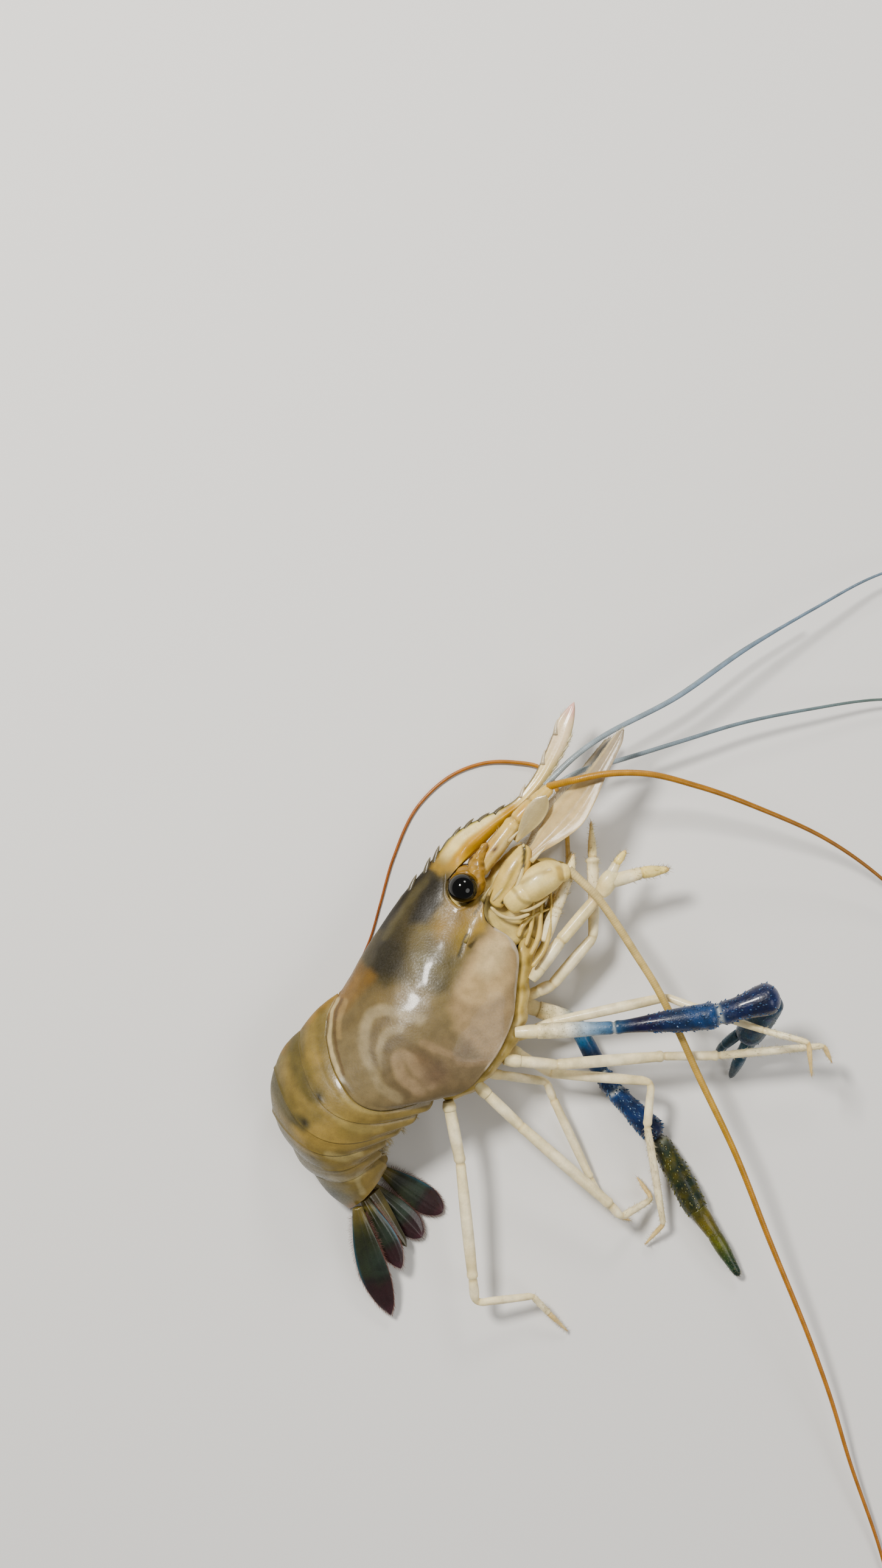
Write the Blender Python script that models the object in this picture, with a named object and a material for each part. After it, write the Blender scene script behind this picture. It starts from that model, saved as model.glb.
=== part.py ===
"""Giant river prawn, an adult male with long blue claws, life size.

It lies still on its left side. Sizes are in millimetres until the last step. Every
form is placed in the body's own frame: s runs forward along the body, d runs up
towards the back, and z is the height above the floor. An angle of 0 points forward,
-90 points to the belly.
"""

import math

import bpy
import numpy as np

BODY_HEADING = math.radians(54)
GAP = 0.3
# The height of the middle plane of the head, which lies on its left side.
MIDDLE = 13.2
EYE_RADIUS = 3.35
EYE_PLACE = (22.1, 4.0)
EYE_SPREAD = 8.8

for old in list(bpy.data.objects):
    bpy.data.objects.remove(old, do_unlink=True)


# Helpers for curves and directions.


def smooth(table):
    """A smooth function of one number through a short table of rows (number, value...)."""
    rows = np.array(table, float)
    keys, values = rows[:, 0], rows[:, 1:]
    steps = np.diff(keys)
    slopes = np.diff(values, axis=0) / steps[:, None]
    tangents = np.empty_like(values)
    tangents[0], tangents[-1] = slopes[0], slopes[-1]
    tangents[1:-1] = (slopes[:-1] * steps[1:, None] + slopes[1:] * steps[:-1, None]) / (
        steps[:-1] + steps[1:]
    )[:, None]

    def at(key):
        key = float(np.clip(key, keys[0], keys[-1]))
        i = int(np.clip(np.searchsorted(keys, key) - 1, 0, len(steps) - 1))
        t = (key - keys[i]) / steps[i]
        a = (1 + 2 * t) * (1 - t) ** 2 * values[i] + t * (1 - t) ** 2 * steps[i] * tangents[i]
        b = t * t * (3 - 2 * t) * values[i + 1] + t * t * (t - 1) * steps[i] * tangents[i + 1]
        both = a + b
        return float(both[0]) if len(both) == 1 else both

    return at


def direction(heading, rise):
    h, r = math.radians(heading), math.radians(rise)
    return np.array([math.cos(h) * math.cos(r), math.sin(h) * math.cos(r), math.sin(r)])


def unit(vector):
    return vector / np.linalg.norm(vector)


# Helpers for closed meshes.


def solid(name, points, faces):
    points = np.array(points, float)
    volume = 0.0
    for face in faces:
        for i in range(1, len(face) - 1):
            volume += np.dot(points[face[0]], np.cross(points[face[i]], points[face[i + 1]]))
    if volume < 0:
        faces = [face[::-1] for face in faces]
    mesh = bpy.data.meshes.new(name)
    mesh.from_pydata([tuple(p) for p in points], [], [tuple(f) for f in faces])
    made = bpy.data.objects.new(name, mesh)
    bpy.context.scene.collection.objects.link(made)
    return made


def lofted(name, rings, strips=False):
    """A closed skin over rings of equally many points.

    With strips, the ends close in straight bands from one flank to the other, so that two
    neighbours that share a curved end stay evenly apart.
    """
    count = len(rings[0])
    points = [p for ring in rings for p in ring]
    faces = []
    for k in range(len(rings) - 1):
        for j in range(count):
            n = (j + 1) % count
            a, b = k * count, (k + 1) * count
            faces.append([a + j, a + n, b + n, b + j])
    last = (len(rings) - 1) * count
    if not strips:
        faces.append(list(range(count))[::-1])
        faces.append([last + j for j in range(count)])
        return solid(name, points, faces)
    middle = count // 2
    low = middle - 4
    end = count - low
    bands = [(0, 1, count - 1)]
    bands += [(j, j + 1, count - j - 1, count - j) for j in range(1, low)]
    bands += [(low, middle, end), (low, low + 1, middle), (low + 1, middle - 1, middle)]
    bands += [(low + 1, low + 2, middle - 1), (middle, middle + 1, end - 1)]
    bands += [(middle + 1, end - 2, end - 1), (middle, end - 1, end)]
    for start, turn in ((0, -1), (last, 1)):
        faces += [[start + j for j in band][::turn] for band in bands]
    return solid(name, points, faces)


def keep_largest(made):
    """Drops loose scraps: only the surface that holds the most volume stays."""
    mesh = made.data
    owner = list(range(len(mesh.vertices)))

    def top(i):
        while owner[i] != i:
            owner[i] = owner[owner[i]]
            i = owner[i]
        return i

    for edge in mesh.edges:
        a, b = top(edge.vertices[0]), top(edge.vertices[1])
        owner[a] = b
    volumes = {}
    for face in mesh.polygons:
        corners = [np.array(mesh.vertices[i].co) for i in face.vertices]
        here = top(face.vertices[0])
        for i in range(1, len(corners) - 1):
            part = np.dot(corners[0], np.cross(corners[i], corners[i + 1]))
            volumes[here] = volumes.get(here, 0.0) + part
    best = max(volumes, key=volumes.get)
    kept = [i for i in range(len(owner)) if top(i) == best]
    places = {old: new for new, old in enumerate(kept)}
    points = [tuple(mesh.vertices[i].co) for i in kept]
    faces = [
        [places[i] for i in face.vertices]
        for face in mesh.polygons
        if top(face.vertices[0]) == best
    ]
    clean = bpy.data.meshes.new(made.name)
    clean.from_pydata(points, [], faces)
    made.data = clean


def joined(name, forms):
    """One closed solid from forms that overlap."""
    base = forms[0]
    base.name = name
    group = bpy.data.collections.new(name + "_forms")
    for form in forms[1:]:
        bpy.context.scene.collection.objects.unlink(form)
        group.objects.link(form)
    union = base.modifiers.new("forms", "BOOLEAN")
    union.operation = "UNION"
    union.operand_type = "COLLECTION"
    union.collection = group
    union.solver = "EXACT"
    bpy.context.view_layer.update()
    graph = bpy.context.evaluated_depsgraph_get()
    merged = bpy.data.meshes.new_from_object(base.evaluated_get(graph))
    base.modifiers.clear()
    base.data = merged
    for form in list(group.objects):
        bpy.data.objects.remove(form, do_unlink=True)
    bpy.data.collections.remove(group)
    keep_largest(base)
    return base


# Helpers for limbs, whips and blades.


def swept(name, places, radii, sides=7, flat=1.0):
    """A tube through places. flat squeezes it from above."""
    places = [np.array(p, float) for p in places]
    rings = []
    side = np.array((0.0, 0.0, 1.0))
    for i, place in enumerate(places):
        before = places[max(i - 1, 0)]
        after = places[min(i + 1, len(places) - 1)]
        if i == 0:
            forward = unit(after - place)
        elif i == len(places) - 1:
            forward = unit(place - before)
        else:
            forward = unit(unit(after - place) + unit(place - before))
        side = side - forward * np.dot(side, forward)
        side = unit(side)
        other = np.cross(forward, side)
        ring = []
        for j in range(sides):
            turn = 2 * math.pi * (j + 0.5) / sides
            ring.append(
                place
                + radii[i] * flat * math.cos(turn) * side
                + radii[i] * math.sin(turn) * other
            )
        rings.append(ring)
    return lofted(name, rings)


def joint_cut(before, beyond, radius, length):
    """How far an article keeps from the corner it shares with a bent neighbour."""
    bend = math.acos(float(np.clip(np.dot(before, beyond), -1, 1)))
    return min(1.25 * radius * math.tan(bend / 2) + 0.12 * radius, 0.4 * length)


def stations(root, articles, trim_start=0.0, trim_end=0.0):
    """Places and radii along articles (length, heading, rise, first radius, last radius)."""
    corners = [np.array(root, float)]
    ways = []
    for length, heading, rise, _, _ in articles:
        ways.append(direction(heading, rise))
        corners.append(corners[-1] + length * ways[-1])
    places, radii = [], []
    for i, (length, _, _, first, last) in enumerate(articles):
        way = ways[i]
        cut_start, cut_end = trim_start, trim_end
        if i > 0:
            cut_start = joint_cut(ways[i - 1], way, first, length)
        if i < len(articles) - 1:
            cut_end = joint_cut(way, ways[i + 1], last, length)
        begin = corners[i] + way * cut_start
        finish = corners[i + 1] - way * cut_end
        free = length - cut_start - cut_end
        if i > 0:
            bent = 0.25 * places[-1] + 0.5 * corners[i] + 0.25 * begin
            places.append(bent)
            radii.append(0.86 * min(articles[i - 1][4], first))
        places.append(begin)
        radii.append(0.93 * first)
        swell = min(0.25 * free, 1.3 * first)
        places.append(begin + way * swell)
        radii.append(first)
        places.append(finish - way * min(0.15 * free, last))
        radii.append(last)
        places.append(finish)
        if i < len(articles) - 1:
            radii.append(0.9 * last)
        else:
            radii.append((0.72 if last > 0.5 else 0.55) * last)
    return places, radii, corners


def limb(name, root, articles, sides=7, trim_start=0.0, trim_end=0.0, slim=1.0, flat=1.0):
    places, radii, _ = stations(root, articles, trim_start, trim_end)
    return swept(name, places, [slim * radius for radius in radii], sides, flat)


def split_limb(names, root, articles, after, sides=7, slim=1.0):
    """Two nodes in line: the articles up to a joint, and those past it, with a small gap there."""
    _, _, corners = stations(root, articles)
    first, second = articles[:after], articles[after:]
    before, beyond = direction(*first[-1][1:3]), direction(*second[0][1:3])
    bend = math.acos(float(np.clip(np.dot(before, beyond), -1, 1)))
    radius = max(first[-1][4], second[0][3])
    trim = 0.75 * radius * math.tan(bend / 2) + 0.5 * GAP
    limb(names[0], root, first, sides, trim_end=trim, slim=slim)
    limb(names[1], corners[after], second, sides, trim_start=trim, slim=slim)


def whip(name, root, bends, radius, tip, sides=6, pitch=6.0):
    """A long flagellum through bends (length, heading, rise), evenly ringed and tapering."""
    corners = [np.array(root, float)]
    for length, heading, rise in bends:
        corners.append(corners[-1] + length * direction(heading, rise))
    travelled = np.concatenate([[0], np.cumsum([b[0] for b in bends])])
    path = smooth([(t, *p) for t, p in zip(travelled, corners)])
    total = travelled[-1]
    count = int(total / pitch)
    places, radii = [], []
    for k in range(count + 1):
        share = k / count
        thick = tip + (radius - tip) * (1 - share) ** 0.8
        place = path(share * total)
        place[2] = max(place[2], thick + 0.02)
        places.append(place)
        radii.append(thick)
    return swept(name, places, radii, sides)


BLADE_RIM = (
    (1.0, 0.35), (0.55, 0.85), (0.0, 1.0), (-0.55, 0.85), (-1.0, 0.35),
    (-1.0, -0.35), (-0.55, -0.85), (0.0, -1.0), (0.55, -0.85), (1.0, -0.35),
)


def blade(name, base, length, heading, rise, widths, thickness, tilt=0.0, bow=0.0, rows=7):
    """A flat leaf. widths is a table (share of length, half width), tilt turns it about its axis."""
    way = direction(heading, rise)
    across = unit(np.cross(np.array([0.0, 0.0, 1.0]), way))
    normal = np.cross(way, across)
    turn = math.radians(tilt)
    wide = math.cos(turn) * across + math.sin(turn) * normal
    thin = np.cross(way, wide)
    half = smooth(widths)
    rings = []
    for k in range(rows):
        share = k / (rows - 1)
        centre = np.array(base, float) + way * length * share
        centre = centre + across * bow * math.sin(math.pi * share)
        thick = 0.5 * thickness * (1 - 0.45 * share)
        rings.append([centre + wide * half(share) * a + thin * thick * b for a, b in BLADE_RIM])
    return lofted(name, rings)


def ball(name, centre, radius, turns=12, rows=8):
    points = [np.array(centre) + np.array((0, 0, radius))]
    for i in range(1, rows):
        polar = math.pi * i / rows
        for j in range(turns):
            round_ = 2 * math.pi * j / turns
            offset = np.array(
                (
                    math.sin(polar) * math.cos(round_),
                    math.sin(polar) * math.sin(round_),
                    math.cos(polar),
                )
            )
            points.append(np.array(centre) + radius * offset)
    points.append(np.array(centre) - np.array((0, 0, radius)))
    faces = []
    for j in range(turns):
        n = (j + 1) % turns
        faces.append([0, 1 + j, 1 + n])
        for i in range(rows - 2):
            a, b = 1 + i * turns, 1 + (i + 1) * turns
            faces.append([a + j, b + j, b + n, a + n])
        end = 1 + (rows - 2) * turns
        faces.append([end + j, len(points) - 1, end + n])
    return solid(name, points, faces)


# The shell's cross-section, shared by the carapace and the abdomen.


def flank(t, edge):
    """Half width at a share t of the way down the flank, as a part of the widest."""
    if t < 0.6:
        return math.sin(0.5 * math.pi * t / 0.6) ** 0.75
    return 1 - (1 - edge) * ((t - 0.6) / 0.4) ** 1.8


def inner_levels(raised):
    """The levels of the hollow belly: beside the edges, and its middle raised by that share."""
    return 1 - 0.35 * raised, 1 - raised


def closed_ring(places, under, levels, wide, edge):
    """One section of the shell from the top of the back round both flanks and the belly.

    places holds the side view at each level from back to belly, and under holds that of the
    hollow belly's two levels.
    """
    right = [(s, d, wide * flank(t, edge)) for (s, d), t in zip(places, levels)]
    side = wide * (edge - 0.16)
    beside, middle = under
    inner = [(*beside, side), (*middle, 0.0), (*beside, -side)]
    left = [(s, d, -offset) for s, d, offset in right[1:]][::-1]
    return right + inner + left


# Carapace: a patch between the back line, the belly line, the rear margin and the front margin.

BACK = smooth([(0, -14.7, 12.4), (0.12, -10, 12.7), (0.25, -5, 13.3), (0.5, 5, 13.6),
               (0.73, 14.4, 13.4), (0.87, 20, 12.8), (1, 25, 12.6)])
BELLY = smooth([(0, -20.0, -18.5), (0.08, -17.8, -21.4), (0.19, -14, -23.6), (0.36, -8, -24.4),
                (0.59, 0, -23.9), (0.76, 6, -22.2), (0.88, 10.4, -19.4), (1, 14.4, -17.1)])
REAR = smooth([(0, -14.7, 12.4), (0.026, -19.2, 11.6), (0.068, -22, 10.3), (0.171, -25.5, 7.1),
               (0.262, -27.6, 4.3), (0.382, -29.3, 0.6), (0.563, -30.8, -5), (0.725, -29.3, -10),
               (0.88, -25.0, -14.6), (1, -20.0, -18.5)])
FRONT = smooth([(0, 25, 12.6), (0.084, 24.4, 10.1), (0.151, 21.6, 8.1), (0.2, 19.4, 6.7),
                (0.292, 18.2, 4), (0.379, 19.0, 1.4), (0.419, 21.5, 0.2), (0.456, 25.0, -0.9),
                (0.5, 21.6, -2.3), (0.577, 19.5, -4.5), (0.695, 19.2, -8), (0.795, 19.3, -11),
                (0.883, 18.4, -13.6), (0.95, 16.8, -15.6), (1, 14.4, -17.1)])
CARAPACE_WIDTH = smooth([(0, 11.8), (0.15, 13.0), (0.35, 13.6), (0.55, 13.1), (0.75, 11.4),
                         (0.9, 9.6), (1, 8.4)])
CARAPACE_EDGE = 0.72
CARAPACE_LEVELS = (0, 0.084, 0.151, 0.2, 0.292, 0.379, 0.419, 0.456, 0.5, 0.577, 0.695, 0.795,
                   0.883, 0.95, 1)
CARAPACE_STATIONS = (0, 0.03, 0.14, 0.28, 0.42, 0.56, 0.7, 0.8, 0.88, 0.95, 1)
# The front opening: its scale and depth at the lip, and the scale and place of its floor.
LIP_SCALE, LIP_DEPTH = 0.86, 0.6
POCKET_SCALE, POCKET_S = 0.8, 12.4
LIP_CENTRE = -2
# Teeth of the crest on the shell: base, tip and thickness.
SHELL_TEETH = (((14.2, 12.6), (18.3, 13.9), 1.1), ((19.6, 12.0), (23.8, 13.8), 1.2))


def carapace_place(u, t):
    """Side-view place of the shell at u from rear to front and t from back to belly."""
    sides = (1 - t) * BACK(u) + t * BELLY(u) + (1 - u) * REAR(t) + u * FRONT(t)
    corners = (1 - t) * ((1 - u) * BACK(0) + u * BACK(1)) + t * ((1 - u) * BELLY(0) + u * BELLY(1))
    return sides - corners


def carapace():
    rings = []
    for u in CARAPACE_STATIONS:
        wide = CARAPACE_WIDTH(u) * (0.97 if u == 0 else 1.0)
        places = [carapace_place(u, t) for t in CARAPACE_LEVELS]
        under = [carapace_place(u, t) for t in inner_levels(0.05)]
        rings.append(closed_ring(places, under, CARAPACE_LEVELS, wide, CARAPACE_EDGE))
    lip = rings[-1]
    for scale, deep in ((LIP_SCALE, None), (POCKET_SCALE, POCKET_S)):
        rings.append([(s - LIP_DEPTH if deep is None else deep,
                       LIP_CENTRE + (d - LIP_CENTRE) * scale, side * scale) for s, d, side in lip])
    rings = [[(s, d, max(MIDDLE + side, 0.0)) for s, d, side in ring] for ring in rings]
    shell = lofted("carapace", rings, strips=True)
    teeth = [tooth(f"shell_tooth_{i}", *row) for i, row in enumerate(SHELL_TEETH)]
    return joined("carapace", [shell] + teeth)


def tooth(name, base, tip, thick):
    """A forward-pointing tooth of the crest."""
    way = np.array((tip[0] - base[0], tip[1] - base[1], 0.0))
    start = np.array((base[0], base[1], MIDDLE))
    return swept(
        name,
        [start, start + 0.55 * way, start + way],
        [thick, 0.72 * thick, 0.18],
        sides=5,
        flat=0.62,
    )


# Rostrum: a thin blade with a crest over the eyes and an upturned tip.

ROSTRUM_TOP = smooth([(25.3, 12.5), (29.3, 12.6), (34, 11.3), (37.7, 9.5), (42, 7.2), (45.2, 5.9),
                      (49, 5.6), (52.7, 5.7), (57.3, 6.5), (62, 7.6), (66, 8.7), (71.5, 8.3)])
ROSTRUM_BOTTOM = smooth([(25.3, 7.3), (29, 6.3), (34, 5.5), (38.7, 4.9), (43.3, 4.0), (49, 2.9),
                         (52.7, 2.6), (57.3, 2.8), (62, 3.4), (66, 4.6), (69.5, 6.4), (71.5, 7.8)])
ROSTRUM_HALF = smooth([(25.3, 4.0), (29, 2.7), (34, 1.8), (38, 1.4), (45, 1.15), (55, 1.0),
                       (66, 0.8), (71.5, 0.4)])
ROSTRUM_BACK_TEETH = ((29.9, 13.5), (33.6, 12.9), (36.8, 11.6), (40.0, 9.4), (43.6, 7.6),
                      (50.2, 6.7), (59.4, 7.7), (66.6, 9.5))
ROSTRUM_BELLY_TEETH = (46.5, 49.5, 52.5, 55.3, 58.0, 60.6, 63.1, 65.4)
ROSTRUM_STATIONS = (25.3, 27.5, 30.5, 34, 37.5, 41, 45, 50, 55, 60, 64.5, 68, 70.3, 71.5)
# The cross-section: share of the height from the bottom, and share of the half width.
ROSTRUM_SECTION = ((1.0, 0.0), (0.9, 0.38), (0.62, 0.62), (0.34, 1.0), (0.1, 0.55), (0.0, 0.0),
                   (0.1, -0.55), (0.34, -1.0), (0.62, -0.62), (0.9, -0.38))
BACK_TOOTH_LENGTH, BACK_TOOTH_SINK, BACK_TOOTH_THICK = 3.6, 0.7, 1.0
BELLY_TOOTH_LENGTH, BELLY_TOOTH_SINK, BELLY_TOOTH_THICK, BELLY_TOOTH_DROP = 2.2, 0.6, 0.7, 0.7


def section(s, low, high, half, rim):
    """One upright cross-section of the middle forms."""
    return [(s, low + (high - low) * a, MIDDLE + half * b) for a, b in rim]


def rostrum():
    rings = []
    for s in ROSTRUM_STATIONS:
        low, high, half = ROSTRUM_BOTTOM(s), ROSTRUM_TOP(s), ROSTRUM_HALF(s)
        rings.append(section(s, low, high, half, ROSTRUM_SECTION))
    forms = [lofted("rostrum", rings)]
    for i, (s, d) in enumerate(ROSTRUM_BACK_TEETH):
        start = s - BACK_TOOTH_LENGTH
        base = (start, ROSTRUM_TOP(start) - BACK_TOOTH_SINK)
        forms.append(tooth(f"back_tooth_{i}", base, (s, d), BACK_TOOTH_THICK))
    for i, s in enumerate(ROSTRUM_BELLY_TEETH):
        start = s - BELLY_TOOTH_LENGTH
        base = (start, ROSTRUM_BOTTOM(start) + BELLY_TOOTH_SINK)
        tip = (s, ROSTRUM_BOTTOM(s) - BELLY_TOOTH_DROP)
        forms.append(tooth(f"belly_tooth_{i}", base, tip, BELLY_TOOTH_THICK))
    return joined("rostrum", forms)


# Thorax: the sternum under the shell with the stumps of the limbs, and the head's block.

THORAX_BOTTOM = smooth([(-19.5, -22.2), (-16, -24.9), (-9, -26.7), (0, -27.1), (6, -25.8),
                        (11, -22.9), (15, -20.4), (20, -18.4), (22, -17.6)])
THORAX_TOP = smooth([(-19.5, -20.6), (-17.8, -22.0), (-14, -23.9), (-8, -24.7), (0, -24.2),
                     (6, -22.5), (10.4, -19.7), (14.4, -17.5), (17, -15.6), (22, -13.5)])
THORAX_STATIONS = (-19.5, -18, -16, -12, -6, 0, 6, 10.4, 14.4, 18, 22)
THORAX_SECTION = ((1, 0.86), (0.5, 1.0), (0.04, 0.62), (0.0, 0.0), (0.04, -0.62), (0.5, -1.0),
                  (1, -0.86), (1, 0.0))
# The head's block behind the eyes, rows of (s, bottom, top, half width).
HEAD_BLOCK = ((13.2, -11.3, 5.3, 5.2), (20, -14.3, 5.8, 5.3), (23.6, -16.2, 5.8, 4.6),
              (26.0, -15.4, 0.9, 3.4), (30, -13.2, 0.5, 2.1), (34, -10.4, 0.1, 1.8),
              (37, -7.6, -0.7, 1.5))
HEAD_SECTION = ((1, 0.52), (0.72, 1.0), (0.3, 0.95), (0.0, 0.7), (0.0, -0.7), (0.3, -0.95),
                (0.72, -1.0), (1, -0.52))


def thorax(stumps):
    """The sternum with the head's block and a stump for each of stumps, from stump_of."""
    rings = []
    for s in THORAX_STATIONS:
        half = 3.5 + 2.6 * math.sin(math.pi * (s + 24) / 50)
        rings.append(section(s, THORAX_BOTTOM(s), THORAX_TOP(s), half, THORAX_SECTION))
    forms = [lofted("thorax", rings)]
    forms.append(lofted("head_block", [section(*row, HEAD_SECTION) for row in HEAD_BLOCK]))
    for i, (root, heading, rise, radius, depth) in enumerate(stumps):
        way = direction(heading, rise)
        end = np.array(root, float) - way * GAP
        forms.append(
            swept(f"stump_{i}", [end - depth * way, end - 0.3 * depth * way, end],
                  [0.6 * radius, 1.1 * radius, 0.95 * radius], sides=7)
        )
    return joined("thorax", forms)


# Limbs. Each article is (length, heading, rise, first radius, last radius).

LEG_5_RIGHT = ((-20.6, -23.4, 17.2), [
    (13.0, -133, -8, 1.9, 1.75), (28.0, -138, -8.3, 1.6, 1.65), (6.2, -138, -13, 1.45, 1.6),
    (13.9, -51, -14.2, 1.25, 1.15), (6.6, -104.7, -23.2, 1.05, 0.95), (7.4, -101, -22, 0.85, 0.3)])
LEG_4_RIGHT = ((-12.9, -28.2, 16.9), [
    (10.9, -98.4, -7.4, 1.8, 1.7), (29.2, -96.3, -10.8, 1.7, 1.6), (4.1, -104.7, -14.3, 1.35, 1.4),
    (10.6, -33.6, -37, 1.2, 1.0), (6.2, 71.7, -8, 0.8, 0.3)])
LEG_3_RIGHT = ((-2.6, -29.8, 16.6), [
    (8.8, -60.4, -8, 1.8, 1.7), (24.9, -50, -3.4, 1.75, 1.6), (12.7, -53.7, -2.3, 1.35, 1.45),
    (24.4, -48.9, -1.2, 1.2, 1.0), (5.3, -115.5, -22, 0.8, 0.3)])
LEG_5_LEFT = ((-8.6, -29.2, 7.4), [
    (11.1, -63, -6.5, 1.5, 1.4), (4.6, -122.6, -9, 1.3, 1.3), (21.2, -119, -7.3, 1.35, 1.25),
    (5.8, -116.3, -8, 1.1, 1.1), (6.1, -97.7, -4, 0.95, 0.85), (2.8, -75.7, -3, 0.7, 0.3)])
LEG_4_LEFT = ((-1.8, -29.6, 8.6), [
    (8.6, -86.6, 6, 1.5, 1.4), (23.5, -57.6, 6.1, 1.5, 1.5), (10.8, -148.4, -8.5, 1.25, 1.35),
    (25.0, -133.7, -13.0, 1.1, 0.95), (7.8, -179.3, -27, 0.8, 0.3)])
LEG_3_LEFT = ((4.9, -29.3, 9.6), [
    (4.4, -29.5, 11, 1.6, 1.5), (27.1, -40.6, 8.0, 1.5, 1.5), (8.1, -73, 20.2, 1.25, 1.35),
    (15.2, -71, 17.1, 1.15, 1.05), (10.4, -67.6, 18.5, 1.0, 0.9), (8.4, -136.4, -14.4, 0.8, 0.3)])
LEG_1_RIGHT = ((17.6, -21.3, 16.2), [
    (7.6, -1, -1, 1.7, 1.6), (13.7, -4.5, -2, 1.6, 1.55)])
LEG_1_LEFT = ((12.6, -24.6, 10.6), [
    (3.6, -29, 4, 1.6, 1.6), (14.4, -4.7, 1, 1.5, 1.4)])
MAXILLIPED_RIGHT = ((22.6, -18.3, 16.8), [
    (8.5, 14, 1, 1.5, 1.35), (8.0, 15, 0, 1.25, 1.1), (5.0, 24, -5, 1.0, 0.4)])
CLAW_ARM_RIGHT = ((5.7, -28.9, 20.0), [
    (17.2, -50.5, 6.5, 2.0, 1.65), (23.6, -46.4, 4.9, 1.65, 3.0), (14.5, -35.5, 2.4, 2.75, 3.85)])
CLAW_ARM_LEFT = ((9.0, -27.6, 6.6), [
    (8.9, -72, -4, 2.2, 2.1), (13.6, -116.5, -6.5, 2.1, 2.2), (5.4, -109.9, 0, 2.1, 2.4),
    (15.4, -100.3, -1, 2.4, 3.1)])


STUMP_DEPTH, DEEP_STUMP, SHALLOW_STUMP = 3.9, 5.5, 2.3


def stump_of(limb_table, depth=STUMP_DEPTH):
    """The stump under a limb: root, heading, rise, radius and how deep it reaches."""
    root, articles = limb_table
    _, heading, rise, first, _ = articles[0]
    return root, heading, rise, 1.05 * first, depth


def mirror_table(limb_table, shift=(0.0, 0.0)):
    root, articles = limb_table
    other = (root[0] + shift[0], root[1] + shift[1], 2 * MIDDLE - root[2])
    return other, [(a[0], a[1], -a[2], a[3], a[4]) for a in articles]


MAXILLIPED_LEFT = mirror_table(MAXILLIPED_RIGHT, (-0.05, 0.1))
# The walking legs are this much slimmer than their tables, which also size the stumps.
LEG_SLIM = 0.84
# Walking legs: name, table and the number of articles in the upper node.
WALKING_LEGS = (("leg_5_right", LEG_5_RIGHT, 2), ("leg_4_right", LEG_4_RIGHT, 2),
                ("leg_3_right", LEG_3_RIGHT, 2), ("leg_5_left", LEG_5_LEFT, 3),
                ("leg_4_left", LEG_4_LEFT, 3), ("leg_3_left", LEG_3_LEFT, 2))


def walking_legs():
    for name, (root, articles), after in WALKING_LEGS:
        split_limb((f"{name}_upper", f"{name}_lower"), root, articles, after, slim=LEG_SLIM)


def small_claws():
    root, articles = LEG_1_RIGHT
    _, _, corners = stations(root, articles)
    limb("leg_1_right_arm", root, articles, trim_end=0.5 * GAP)
    start = corners[-1] + direction(-2, 0) * 0.8 * GAP
    palm = swept("palm", [start, start + direction(0, 0) * 1.4, start + direction(2, 1) * 4.6,
                          start + direction(-6, 0) * 6.6],
                 [1.25, 1.9, 2.05, 1.6], sides=8, flat=0.8)
    upper = limb("upper_finger", start + direction(6, 0) * 4.0,
                 [(4.2, 9, 0, 1.15, 0.95), (3.6, 0, 0, 0.85, 0.3)], sides=6)
    lower = limb("lower_finger", start + direction(-6, 0) * 4.4,
                 [(6.8, -38, -2, 1.45, 1.35), (6.6, -47, -8, 1.2, 0.3)], sides=6)
    joined("leg_1_right_hand", [palm, upper, lower])
    root, articles = LEG_1_LEFT
    hand = [(7.6, 33.8, 0, 1.35, 1.45), (11.0, 37.9, -2, 1.5, 1.5), (8.4, 37.9, -4, 1.15, 0.35)]
    split_limb(("leg_1_left_arm", "leg_1_left_hand"), root, articles + hand, after=2)
    for name, table in (("maxilliped_right", MAXILLIPED_RIGHT), ("maxilliped_left", MAXILLIPED_LEFT)):
        limb(name, *table, sides=7)


# Great claws: where the palms begin, the way of the right one, and the course of the left one
# in steps (length, heading), with a radius at each station.
RIGHT_PALM_ROOT = np.array((40.6, -68.6, 17.9))
RIGHT_PALM_WAY = direction(-170, -45.3)
RIGHT_PALM = ((-2.6, 2.1), (-0.9, 2.8), (1.5, 3.1), (6.5, 3.35), (11.0, 3.1), (12.6, 2.4))
LEFT_PALM_HEIGHT = 3.3
LEFT_PALM_STEPS = ((1.2, -124), (2.4, -118), (8.0, -114.3), (6.6, -117.4), (1.9, -120))
LEFT_PALM_RADII = (1.9, 2.2, 2.5, 2.9, 2.6, 2.1)
FINGER_FLAT = 0.75


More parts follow.
